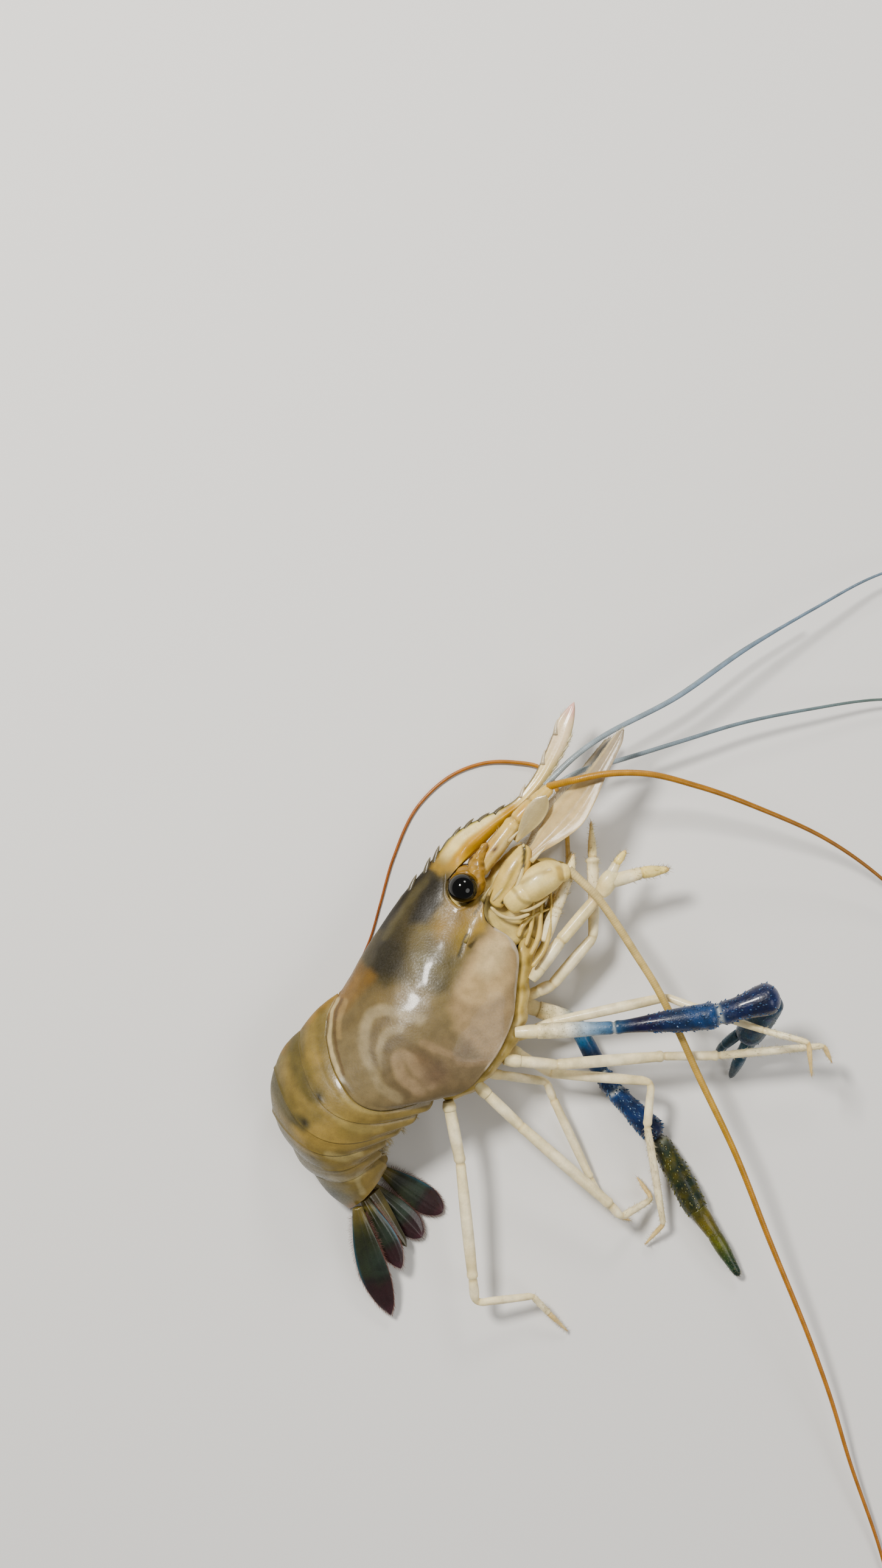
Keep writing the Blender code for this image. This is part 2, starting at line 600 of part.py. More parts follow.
def great_claws():
    root, articles = CLAW_ARM_RIGHT
    limb("claw_right_arm", root, articles, sides=9)
    palm = swept("palm", [RIGHT_PALM_ROOT + RIGHT_PALM_WAY * far for far, _ in RIGHT_PALM],
                 [radius for _, radius in RIGHT_PALM], sides=10)
    finger = limb("fixed_finger", RIGHT_PALM_ROOT + RIGHT_PALM_WAY * 9.6 + np.array((-0.3, -0.9, 0)),
                  [(7.0, -165, -38, 1.7, 1.5), (8.7, -160, -42, 1.35, 0.4)], sides=8)
    joined("claw_right_hand", [palm, finger])
    limb("claw_right_finger", RIGHT_PALM_ROOT + RIGHT_PALM_WAY * 13.7 + np.array((-0.2, 2.5, 0.9)),
         [(4.6, 174, -40, 1.15, 1.1), (4.4, 186, -50, 0.95, 0.35)], sides=7)

    root, articles = CLAW_ARM_LEFT
    _, _, corners = stations(root, articles)
    limb("claw_left_arm", root, articles, sides=9, trim_end=0.5 * GAP)
    palm_root = corners[-1] + direction(-112, 0) * 0.9
    palm_root[2] = LEFT_PALM_HEIGHT
    walk = [palm_root]
    for length, heading in LEFT_PALM_STEPS:
        walk.append(walk[-1] + direction(heading, -0.4) * length)
    palm = swept("palm", walk, LEFT_PALM_RADII, sides=10)
    finger = limb("fixed_finger", walk[-2] + np.array((0.2, -0.2, -1.3)),
                  [(6.6, -108, -1, 1.6, 1.5), (10.6, -112, -3, 1.45, 0.8)], sides=8, flat=FINGER_FLAT)
    joined("claw_left_hand", [palm, finger])
    limb("claw_left_finger", walk[-1] + direction(-105, 0) * 0.9 + np.array((0.6, 0.0, 1.9)),
         [(4.6, -110, -2, 1.85, 1.7), (12.0, -113, -8, 1.65, 0.9)], sides=8, flat=FINGER_FLAT)


# Head limbs.

SCALE_OUTLINE = [(0, 1.4), (0.12, 1.5), (0.25, 3.2), (0.4, 4.5), (0.56, 3.6), (0.7, 2.4), (0.85, 1.75),
                 (0.95, 1.2), (1, 0.5)]
# Rows of (s, d, offset from the middle plane), and the antenna base's with a radius.
EYESTALK_FOOT = (24.9, 5.1, 4.1)
EYESTALK_RADII = (1.7, 1.95, 2.0)
ANTENNULE_FOOT = (26.6, 3.2, 3.1)
ANTENNULE_BASE = ((14.7, -1, 0, 2.1, 2.0), (5.6, -8, 0, 1.85, 1.7), (5.8, -12, 0, 1.6, 1.35))
ANTENNA_BASE = ((24.3, -6.6, 6.5, 2.1), (25.4, -6.9, 6.7, 2.8), (28.4, -7.8, 7.2, 3.3),
                (29.5, -8.1, 7.3, 3.0), (31.2, -8.6, 7.3, 3.8), (34.4, -9.5, 7.2, 4.2),
                (36.7, -10.9, 6.9, 3.1), (38.1, -12.3, 6.6, 1.9), (38.9, -13.2, 6.4, 1.5))
# Lips: rows of (s, d, height, half width).
LIPS = ((24.2, -18.1, 1.4, 1.6), (26, -17.6, 2.6, 1.9), (29, -16.0, 2.8, 1.8), (31.5, -14.6, 1.4, 1.2))
LIP_SECTION = ((-0.5, 1.0), (0.5, 0.8), (0.5, -0.8), (-0.5, -1.0))


def head_limbs():
    for side, sign in (("right", 1), ("left", -1)):
        def sided(row):
            return np.array((row[0], row[1], MIDDLE + sign * row[2]))

        eye = sided((*EYE_PLACE, EYE_SPREAD))
        ball(f"eye_{side}", eye, EYE_RADIUS)
        foot = sided(EYESTALK_FOOT)
        end = eye - unit(eye - foot) * (EYE_RADIUS + GAP)
        swept(f"eyestalk_{side}", [foot, 0.5 * (foot + end), end], EYESTALK_RADII, sides=8)
        limb(f"antennule_base_{side}", sided(ANTENNULE_FOOT), ANTENNULE_BASE, sides=8)
        swept(f"antenna_base_{side}", [sided(row) for row in ANTENNA_BASE],
              [row[3] for row in ANTENNA_BASE], sides=9)
    blade("antenna_scale_right", (34.2, -3.7, MIDDLE + 6.0), 38.4, -1.2, 0, SCALE_OUTLINE, 1.3,
          tilt=-30, bow=-1.6, rows=10)
    blade("antenna_scale_left", (33.8, -3.7, MIDDLE - 7.2), 36.5, -0.6, 0, SCALE_OUTLINE, 1.3,
          tilt=34, bow=-0.6, rows=10)
    rings = [[(s, d + high * a, MIDDLE + wide * b) for a, b in LIP_SECTION] for s, d, high, wide in LIPS]
    forms = [lofted("mouthparts", rings)]
    for side, sign in (("right", 1), ("left", -1)):
        forms.append(limb(f"palp_{side}", (25.0, -17.4, MIDDLE + sign * 0.6),
                          [(5.5, 24, sign * 3, 0.9, 0.85), (3.4, 18, 0, 0.75, 0.35)], sides=6))
    joined("mouthparts", forms)


def flagella():
    whip("antenna_right", (39.35, -14.3, 19.6), [
        (7.0, -98, 0.8), (8.4, -107.7, 0), (7.9, -111.1, -2.2), (8.4, -111.8, -2.1),
        (12.5, -117.3, -2.3), (9.2, -119.7, -1.9), (21.9, -118.5, -4.7), (20.8, -122, -7.7),
        (30.7, -121.5, -8.6), (12.0, -123.8, -9.6), (15.9, -126.4, -8.7), (26.8, -124.9, -6.5),
        (18.0, -131, -1.5), (16.0, -143, 0), (14.0, -157, 0)], 1.08, 0.3, pitch=7.5)
    whip("antenna_left", (39.65, -13.8, 6.6), [
        (6.0, 34, -36), (10.0, 42, -10), (10.6, 67.5, -2), (6.0, 114.7, -2), (5.7, 125.8, -2),
        (8.2, 143, -4), (11.6, 166, -1), (14.1, -170, 0), (11.7, -160, 0), (8.0, -160, 0),
        (10.0, -168, 0)], 0.62, 0.28, pitch=5.0)
    whip("antennule_whip_right_outer", (53.0, 0.9, 17.5), [
        (5.5, -40, 36), (6.5, -42, 12), (9.0, -52, 0), (13.9, -66.7, -9), (16.7, -73.5, -13),
        (16.8, -77.8, -16), (17.7, -87.7, -16), (14.0, -97, -10), (12.0, -110, -5),
        (10.0, -124, 0)], 0.92, 0.3)
    whip("antennule_whip_right_inner", (53.1, 2.1, 15.8), [
        (7.6, -10, 0), (29.7, -23.6, -3.9), (18.7, -19.2, -6.1), (18.4, -23.3, -9.4),
        (18.5, -26.5, -9), (12.0, -38, -4), (9.0, -52, -2)], 0.7, 0.28)
    whip("antennule_whip_left_inner", (52.95, 0.4, 10.0), [
        (7.0, -24, 0), (9.4, -38.3, -3), (16.6, -37, -3.5), (12.3, -37.1, -4.7),
        (17.9, -42.3, -4.8), (17.4, -46.1, -6.6), (12.0, -55, -5), (9.0, -66, -2)], 0.7, 0.28)
    whip("antennule_whip_left_outer", (53.1, 2.2, 10.8), [
        (7.6, -10, 0), (29.7, -23.2, -3.9), (18.7, -19.2, -4), (14.0, -24, -4)], 0.55, 0.28)


# Abdomen: six rings between seven boundaries, each from a back point to a belly point.

JOINTS = (
    ((-14.7, 12.4), (-20.0, -18.5), 0.0, 11.5, 13.2),
    ((-27.0, 14.7), (-25.2, -17.9), 9.6, 12.0, 12.2),
    ((-36.7, 14.6), (-30.0, -16.6), 8.8, 11.8, 11.6),
    ((-45.3, 9.4), (-34.4, -15.4), 5.8, 11.0, 10.8),
    ((-50.2, 0.2), (-38.0, -15.6), 3.8, 9.7, 9.5),
    ((-52.7, -8.0), (-40.2, -17.2), 2.0, 8.1, 7.9),
    ((-54.8, -19.2), (-41.8, -20.4), 0.6, 6.3, 6.1),
)
SOMITE_EDGE = 0.66
SOMITE_LEVELS = (0, 0.07, 0.15, 0.26, 0.4, 0.55, 0.7, 0.83, 0.93, 1)
# A somite's rings from front to rear: the share of its length and of its width.
SOMITE_RINGS = ((0, 0.93), (0.1, 0.97), (0.45, 1.0), (0.85, 1.01), (1, 0.99))
# How far a somite keeps from the shell, and from a boundary it shares with another somite.
SHELL_CLEAR, SOMITE_CLEAR = 1.35 * GAP, 0.75 * GAP
PUFF, LOBE = 0.8, 1.1
PLEOPOD_LENGTH, PLEOPOD_SPREAD = 3.0, 2.0
PLEOPOD_OUTLINE = [(0, 0.8), (0.5, 1.2), (1, 0.7)]


def joint_place(i, t, shift):
    """A boundary's side-view place, shifted along its normal."""
    def raw(t):
        if i == 0:
            return np.array(REAR(t))
        back, belly, bulge, _, _ = JOINTS[i]
        back, belly = np.array(back), np.array(belly)
        chord = belly - back
        normal = np.array((chord[1], -chord[0])) / np.linalg.norm(chord)
        return back + t * chord + 4 * t * (1 - t) * bulge * normal
    here = raw(t)
    tangent = raw(min(t + 0.01, 1.0)) - raw(max(t - 0.01, 0.0))
    normal = np.array((tangent[1], -tangent[0])) / np.linalg.norm(tangent)
    return here + shift * normal


def somite_place(i, v, t):
    """Side-view place between a somite's front, v = 0, and its rear, v = 1."""
    front = joint_place(i, t, SHELL_CLEAR if i == 0 else SOMITE_CLEAR)
    rear = joint_place(i + 1, t, -SOMITE_CLEAR)
    here = (1 - v) * front + v * rear
    centre = 0.5 * (np.array(JOINTS[i][0]) + np.array(JOINTS[i][1]))
    swell = PUFF * (1 - t) ** 2 + LOBE * t ** 5
    return here + unit(here - centre) * swell * math.sin(math.pi * v)


def somite(i):
    rings = []
    for v, scale in SOMITE_RINGS:
        width = ((1 - v) * JOINTS[i][3] + v * JOINTS[i + 1][3]) * scale
        level = (1 - v) * JOINTS[i][4] + v * JOINTS[i + 1][4]
        places = [somite_place(i, v, t) for t in SOMITE_LEVELS]
        under = [somite_place(i, v, t) for t in inner_levels(0.1)]
        ring = closed_ring(places, under, SOMITE_LEVELS, width, SOMITE_EDGE)
        rings.append([(s, d, max(level + side, 0.0)) for s, d, side in ring])
    return rings


def abdomen():
    for i in range(6):
        rings = somite(i)
        body = lofted(f"abdomen_{i + 1}", rings, strips=True)
        if i == 5:
            continue
        forms = [body]
        middle = len(SOMITE_LEVELS) + 1
        under = np.array(rings[2][middle])
        way = np.array(rings[-1][middle]) - np.array(rings[0][middle])
        heading = math.degrees(math.atan2(way[1], way[0])) + 90
        thick = min(1.0, 0.26 * np.linalg.norm(way))
        for sign in (1, -1):
            base = under - 0.12 * way - 0.6 * direction(heading, 0)
            base = base + np.array((0, 0, sign * PLEOPOD_SPREAD))
            forms.append(blade(f"pleopod_{sign}", base, PLEOPOD_LENGTH, heading, 0, PLEOPOD_OUTLINE,
                               thick, tilt=90, rows=3))
        joined(f"abdomen_{i + 1}", forms)


# Tail fan.


def tail_fan():
    blade("telson", (-49.4, -21.0, 6.2), 15.4, -109, -8,
          [(0, 2.9), (0.2, 2.6), (0.7, 1.5), (0.92, 0.9), (1, 0.4)], 2.4, rows=6)
    leaf = [(0, 1.2), (0.15, 2.0), (0.4, 3.1), (0.7, 3.2), (0.9, 1.8), (1, 0.5)]
    blade("uropod_right_outer", (-52.65, -20.2, 10.2), 28.9, -128.2, -15.5, leaf, 1.5, tilt=8,
          bow=-0.8, rows=8)
    blade("uropod_right_inner", (-50.6, -20.6, 8.3), 19.0, -117, -10,
          [(0, 1.1), (0.2, 1.8), (0.5, 2.7), (0.8, 2.3), (1, 0.6)], 1.3, tilt=6, rows=7)
    blade("uropod_left_outer", (-43.5, -20.8, 2.4), 17.2, -90, -5,
          [(0, 1.2), (0.2, 2.0), (0.5, 3.0), (0.8, 2.9), (1, 1.2)], 1.4, tilt=-6, rows=7)
    blade("uropod_left_inner", (-47.8, -20.8, 3.6), 17.0, -101, -7,
          [(0, 1.1), (0.2, 1.9), (0.5, 2.9), (0.8, 2.8), (1, 1.2)], 1.3, tilt=0, rows=7)


carapace()
rostrum()
thorax([
    stump_of(LEG_5_RIGHT, SHALLOW_STUMP), stump_of(LEG_4_RIGHT), stump_of(LEG_3_RIGHT),
    stump_of(CLAW_ARM_RIGHT, DEEP_STUMP), stump_of(LEG_1_RIGHT), stump_of(LEG_5_LEFT),
    stump_of(LEG_4_LEFT), stump_of(LEG_3_LEFT, DEEP_STUMP), stump_of(CLAW_ARM_LEFT, DEEP_STUMP),
    stump_of(LEG_1_LEFT),
])
walking_legs()
small_claws()
great_claws()
head_limbs()
flagella()
abdomen()
tail_fan()

# Materials: the colour in linear values and the roughness of each kind of form.

LOOKS = (
    ("shell", ("carapace",), (0.24, 0.18, 0.10), 0.35),
    ("tail_shell", ("abdomen",), (0.25, 0.20, 0.10), 0.35),
    ("tail_leaf", ("telson", "uropod"), (0.03, 0.04, 0.03), 0.35),
    ("eye", ("eye_",), (0.004, 0.004, 0.004), 0.08),
    ("beak", ("rostrum", "eyestalk", "antennule_base", "antenna_base"), (0.55, 0.42, 0.20), 0.35),
    ("scale", ("antenna_scale",), (0.45, 0.38, 0.26), 0.35),
    ("cream", ("leg_", "maxilliped", "mouthparts", "thorax"), (0.62, 0.54, 0.38), 0.4),
    ("blue", ("claw_right", "claw_left_arm"), (0.02, 0.06, 0.20), 0.35),
    ("olive", ("claw_left_hand", "claw_left_finger"), (0.06, 0.08, 0.04), 0.4),
    ("blue_grey", ("antennule_whip_right_inner", "antennule_whip_left"), (0.20, 0.24, 0.28), 0.4),
    ("orange", ("antenna_right", "antenna_left", "antennule_whip"), (0.42, 0.19, 0.05), 0.4),
)


def looks():
    """Gives each node the material of its kind, and shades the faces smoothly."""
    made = {}
    for item in bpy.context.scene.collection.all_objects:
        for kind, starts, colour, rough in LOOKS:
            if not item.name.startswith(starts):
                continue
            if kind not in made:
                made[kind] = bpy.data.materials.new(kind)
                made[kind].use_nodes = True
                shader = made[kind].node_tree.nodes["Principled BSDF"]
                shader.inputs["Base Color"].default_value = (*colour, 1.0)
                shader.inputs["Roughness"].default_value = rough
            item.data.materials.clear()
            item.data.materials.append(made[kind])
            break
        item.data.shade_smooth()


looks()

# Turn the body to its heading, set it over the middle of the floor and change to metres.

nodes = [o for o in bpy.context.scene.collection.all_objects if o.type == "MESH"]
turned = {}
for item in nodes:
    count = len(item.data.vertices)
    flat_list = np.empty(count * 3)
    item.data.vertices.foreach_get("co", flat_list)
    at = flat_list.reshape(-1, 3)
    x = at[:, 0] * math.cos(BODY_HEADING) - at[:, 1] * math.sin(BODY_HEADING)
    y = at[:, 0] * math.sin(BODY_HEADING) + at[:, 1] * math.cos(BODY_HEADING)
    turned[item.name] = np.stack([x, y, np.maximum(at[:, 2], 0.0)], axis=1)
everything = np.concatenate(list(turned.values()))
low, high = everything.min(axis=0), everything.max(axis=0)
centre = np.array((0.5 * (low[0] + high[0]), 0.5 * (low[1] + high[1]), 0.0))
for item in nodes:
    moved = (turned[item.name] - centre) * 0.001
    item.data.vertices.foreach_set("co", moved.astype(np.float32).ravel())
    item.data.update()
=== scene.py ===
"""Looks of the giant river prawn: fine shell, limbs, feelers, bristles and colours.

Places are in millimetres in the body's own frame: s runs forward along the body, d runs up
towards the back, and z is the height above the floor. An angle of 0 points forward and
-90 points to the belly.
"""

import math

import bpy
import numpy as np
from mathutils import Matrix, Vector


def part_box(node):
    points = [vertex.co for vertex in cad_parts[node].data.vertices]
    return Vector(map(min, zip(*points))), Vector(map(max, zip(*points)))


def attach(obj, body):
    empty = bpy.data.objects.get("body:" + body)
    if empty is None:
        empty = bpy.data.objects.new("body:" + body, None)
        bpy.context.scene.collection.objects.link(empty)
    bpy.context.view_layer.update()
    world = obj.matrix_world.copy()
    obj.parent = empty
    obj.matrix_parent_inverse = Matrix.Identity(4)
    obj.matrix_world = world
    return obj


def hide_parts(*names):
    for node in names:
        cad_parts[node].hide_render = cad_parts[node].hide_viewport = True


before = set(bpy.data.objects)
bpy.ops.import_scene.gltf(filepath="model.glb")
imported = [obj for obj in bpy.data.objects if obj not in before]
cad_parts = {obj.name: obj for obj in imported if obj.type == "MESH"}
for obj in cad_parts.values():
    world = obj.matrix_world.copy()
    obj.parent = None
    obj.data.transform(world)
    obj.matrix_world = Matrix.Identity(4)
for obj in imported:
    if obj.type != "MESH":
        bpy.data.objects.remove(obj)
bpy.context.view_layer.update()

BODY_HEADING = math.radians(54)
GAP = 0.3
MIDDLE = 13.2
EYE_RADIUS = 3.35
EYE_PLACE = (22.1, 4.0)
EYE_SPREAD = 8.8
CAMERA_HEIGHT = 0.4635
CAMERA_FROM_EYE = (-0.00492, 0.02345)
CAMERA_LENS = 44.92

eye_low, eye_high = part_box("eye_right")
EYE_AT = 0.5 * (np.array(eye_low) + np.array(eye_high))


# Helpers for curves and places.


def smooth(table):
    """A smooth function through a short table of rows (number, value...)."""
    rows = np.array(table, float)
    keys, values = rows[:, 0], rows[:, 1:]
    steps = np.diff(keys)
    slopes = np.diff(values, axis=0) / steps[:, None]
    tangents = np.empty_like(values)
    tangents[0], tangents[-1] = slopes[0], slopes[-1]
    tangents[1:-1] = (slopes[:-1] * steps[1:, None] + slopes[1:] * steps[:-1, None]) / (
        steps[:-1] + steps[1:]
    )[:, None]

    def at(key):
        key = np.clip(np.asarray(key, float), keys[0], keys[-1])
        i = np.clip(np.searchsorted(keys, key) - 1, 0, len(steps) - 1)
        t = ((key - keys[i]) / steps[i])[..., None]
        step = steps[i][..., None]
        a = (1 + 2 * t) * (1 - t) ** 2 * values[i] + t * (1 - t) ** 2 * step * tangents[i]
        b = t * t * (3 - 2 * t) * values[i + 1] + t * t * (t - 1) * step * tangents[i + 1]
        both = a + b
        return both[..., 0] if values.shape[1] == 1 else both

    return at


def ease(low, high, x):
    t = np.clip((x - low) / (high - low), 0, 1)
    return t * t * (3 - 2 * t)


def hump(x, centre, width):
    return np.exp(-(((x - centre) / width) ** 2))


def direction(heading, rise):
    h, r = math.radians(heading), math.radians(rise)
    return np.array([math.cos(h) * math.cos(r), math.sin(h) * math.cos(r), math.sin(r)])


def unit(vectors):
    return vectors / np.maximum(np.linalg.norm(vectors, axis=-1, keepdims=True), 1e-9)


WAVES = ((1.0, 0.7, 0.3), (-0.6, 1.1, 0.8), (0.9, -0.5, 1.2), (0.4, 1.3, -0.7))


def wobble(points, size, seed=0.0):
    """A smooth irregular number between about -1 and 1 at each point, with features of that size."""
    p = points / size
    x, y = p[..., 0], p[..., 1]
    z = p[..., 2] if p.shape[-1] > 2 else 0 * x
    total = 0
    for k, (a, b, c) in enumerate(WAVES):
        warp = 1.3 * np.sin(b * x - c * y + seed * k)
        total = total + np.sin(a * x + b * y + c * z + 1.7 * k + seed + warp)
    return total / 3.2


def to_row(points):
    """Body-frame millimetres to row-frame metres."""
    points = np.asarray(points, float)
    c, s = math.cos(BODY_HEADING), math.sin(BODY_HEADING)
    eye_x = EYE_PLACE[0] * c - EYE_PLACE[1] * s
    eye_y = EYE_PLACE[0] * s + EYE_PLACE[1] * c
    x = (points[..., 0] * c - points[..., 1] * s - eye_x) * 0.001 + EYE_AT[0]
    y = (points[..., 0] * s + points[..., 1] * c - eye_y) * 0.001 + EYE_AT[1]
    return np.stack([x, y, points[..., 2] * 0.001], axis=-1)


# Colours. A painter lays soft marks over points as the side view shows them.


def shaded(stops):
    """A smooth colour through stops, each (place, hex code)."""
    return smooth([(at, *linear(code)) for at, code in stops])


def linear(code):
    """A linear colour from its hex code."""
    values = np.array([int(code[i:i + 2], 16) / 255 for i in (0, 2, 4)])
    return np.where(values <= 0.04045, values / 12.92, ((values + 0.055) / 1.055) ** 2.4)


def distance_to(points, rows):
    """How far each point of the side view is from the line through rows of places."""
    best = np.full(points.shape[:-1], 1e9)
    for a, b in zip(rows[:-1], rows[1:]):
        along = b - a
        t = np.clip(((points - a) @ along) / (along @ along), 0, 1)
        off = points - a - t[..., None] * along
        best = np.minimum(best, np.hypot(off[..., 0], off[..., 1]))
    return best


class Painter:
    """Soft marks, laid one over another. A mark's strength is how much it covers."""

    def __init__(self, points, base):
        self.points = points[..., :2] + 0.25 * np.stack(
            [wobble(points, 1.1), wobble(points, 1.3, 2.0)], axis=-1
        )
        self.colour = np.broadcast_to(linear(base), points.shape[:-1] + (3,)).copy()

    def over(self, mask, code):
        mask = np.clip(mask, 0, 1)[..., None]
        self.colour = self.colour * (1 - mask) + linear(code) * mask
        return self

    def distance(self, line):
        rows = np.array(line, float)
        if len(rows) > 2:
            fine = smooth([(i, *row) for i, row in enumerate(rows)])
            rows = fine(np.linspace(0, len(rows) - 1, 6 * len(rows)))
        return distance_to(self.points, rows)

    def stroke(self, line, width, soft, code, strength=1.0):
        away = self.distance(line)
        return self.over(strength * (1 - ease(0.5 * width, 0.5 * width + soft, away)), code)

    def patch(self, outline, soft, code, strength=1.0):
        rows = np.array(list(outline) + [outline[0]], float)
        x, y = self.points[..., 0], self.points[..., 1]
        inside = np.zeros(x.shape, bool)
        for a, b in zip(rows[:-1], rows[1:]):
            crosses = (a[1] > y) != (b[1] > y)
            span = b[1] - a[1] if abs(b[1] - a[1]) > 1e-9 else 1e-9
            inside ^= crosses & (x < a[0] + (b[0] - a[0]) * (y - a[1]) / span)
        away = distance_to(self.points, rows)
        signed = np.where(inside, -away, away)
        return self.over(strength * (1 - ease(-soft, soft, signed)), code)

    def spot(self, centre, size, code, strength=1.0, turn=0.0):
        offset = self.points - np.array(centre)
        c, s = math.cos(math.radians(turn)), math.sin(math.radians(turn))
        u = (offset[..., 0] * c + offset[..., 1] * s) / size[0]
        v = (-offset[..., 0] * s + offset[..., 1] * c) / size[1]
        return self.over(strength * np.exp(-(u * u + v * v)), code)


# Forms. A form is (points, faces, colours), and forms join into one mesh.

FACES_SAMPLED = 4000


def grid_faces(rows, count):
    k, j = np.meshgrid(np.arange(rows - 1), np.arange(count), indexing="ij")
    n = (j + 1) % count
    quads = np.stack([k * count + j, k * count + n, (k + 1) * count + n, (k + 1) * count + j], axis=-1)
    return quads.reshape(-1, 4).tolist()


def ring_form(rings, colours):
    """A closed skin over rings, its ends closed by fans."""
    rows, count, _ = rings.shape
    points = rings.reshape(-1, 3)
    colours = np.broadcast_to(colours, rings.shape).reshape(-1, 3)
    faces = grid_faces(rows, count)
    ends = np.stack([rings[0].mean(axis=0), rings[-1].mean(axis=0)])
    last = (rows - 1) * count
    first_hub, last_hub = len(points), len(points) + 1
    for j in range(count):
        n = (j + 1) % count
        faces.append([first_hub, n, j])
        faces.append([last_hub, last + j, last + n])
    points = np.concatenate([points, ends])
    colours = np.concatenate([colours, colours[:1], colours[-1:]])
    if signed_volume(points, faces[:: max(len(faces) // FACES_SAMPLED, 1)]) < 0:
        faces = [face[::-1] for face in faces]
    return points, faces, colours


def signed_volume(points, faces):
    centre = points.mean(axis=0)
    total = 0.0
    for face in faces:
        a, b, c = points[face[0]] - centre, points[face[1]] - centre, points[face[2]] - centre
        total += float(np.dot(a, np.cross(b, c)))
    return total


def merged(forms):
    points, faces, start = [], [], 0
    for form in forms:
        points.append(form[0])
        faces += [[i + start for i in face] for face in form[1]]
        start += len(form[0])
    rest = [np.concatenate([form[i] for form in forms]) for i in range(2, len(forms[0]))]
    return np.concatenate(points), faces, *rest


def frames(path, start_side=(0.0, 0.0, 1.0)):
    """Two directions across a path at each point, carried along without twist."""
    way = unit(np.gradient(path, axis=0))
    side = np.array(start_side, float)
    sides = np.empty_like(path)
    for i, forward in enumerate(way):
        side = side - forward * np.dot(side, forward)
        side = side / np.linalg.norm(side)
        sides[i] = side
    return way, sides, np.cross(way, sides)


def above_floor(rings):
    rings[..., 2] = np.maximum(rings[..., 2], 0.0)
    return rings


def tube_rings(path, radii, sides, flat=1.0):
    _, side, other = frames(path)
    turn = 2 * np.pi * np.arange(sides) / sides
    radii = np.asarray(radii, float)
    if radii.ndim == 1:
        radii = radii[:, None]
    ring = (radii * flat * np.cos(turn))[..., None] * side[:, None, :]
    ring = ring + (radii * np.sin(turn))[..., None] * other[:, None, :]
    return above_floor(path[:, None, :] + ring)


def rounded_ends(along, radii, tail, head):
    """Radii that close smoothly at the two ends, over the given lengths."""
    total = along[-1]
    start = np.sqrt(np.clip(1 - (1 - np.clip(along / tail, 0, 1)) ** 2, 0, 1)) if tail else 1
    finish = np.sqrt(np.clip(1 - (1 - np.clip((total - along) / head, 0, 1)) ** 2, 0, 1)) if head else 1
    return radii * np.maximum(start, 0.02) * np.maximum(finish, 0.02)


def lengths(path):
    steps = np.linalg.norm(np.diff(path, axis=0), axis=1)
    return np.concatenate([[0], np.cumsum(steps)])


def through(places, values, spacing):
    """A fine path and its values through coarse places."""
    places = np.array(places, float)
    values = np.array(values, float).reshape(len(places), -1)
    along = lengths(places)
    curve = smooth([(t, *p, *v) for t, p, v in zip(along, places, values)])
    both = curve(np.linspace(0, along[-1], max(int(along[-1] / spacing), 4) + 1))
    return both[:, :3], both[:, 3:]


def strand(places, radii, spacing, tail, head, sides, flat=1.0):
    """A tube's rings, its path and its radii through coarse places, with rounded ends."""
    path, thick = through(places, radii, spacing)
    thick = rounded_ends(lengths(path), thick[:, 0], tail, head)
    return tube_rings(path, thick, sides, flat), path, thick


def dappled(rings, base, amount, size, code, lift=0.0):
    """A closed skin of one colour with soft dapples of another."""
    return ring_form(rings, Painter(rings, base).over(amount * wobble(rings, size) + lift, code).colour)


def closed_loop(rows, count):
    """A closed outline of count places through coarse rows, the first given again at the end."""
    loop = smooth([(i, *row) for i, row in enumerate(rows)])
    return loop(np.linspace(0, len(rows) - 1, count + 1)[:-1]).T


def loft(s, d, z):
    """Rings at places s along the body, from their heights in the side view and places across."""
    return np.stack([np.broadcast_to(s[:, None], d.shape), d, z], axis=-1)


def cone(root, tip, thick, colour, bend=(0.0, 0.0, 0.0), sides=8, rows=6, tip_colour=None):
    """A spine or tooth, a little hooked by bend."""
    share = np.linspace(0, 1, rows)[:, None]
    root, tip = np.array(root, float), np.array(tip, float)
    path = root + (tip - root) * share + np.array(bend) * (share * (1 - share))
    radii = thick * (1 - share[:, 0]) ** 0.8 + 0.02
    start = (0.0, 0.0, 1.0) if abs(unit(tip - root)[2]) < 0.9 else (1.0, 0.0, 0.0)
    _, side, other = frames(path, start)
    turn = 2 * np.pi * np.arange(sides) / sides
    rings = path[:, None, :] + radii[:, None, None] * (
        np.cos(turn)[:, None] * side[:, None, :] + np.sin(turn)[:, None] * other[:, None, :]
    )
    first = linear(colour)
    last = linear(tip_colour) if tip_colour else first
    shades = first + (last - first) * share[:, :, None]
    return ring_form(rings, np.broadcast_to(shades, rings.shape))


HAIR_ROWS = 4
HAIR_SIDES = 3
HAIR_FLOOR = 0.06


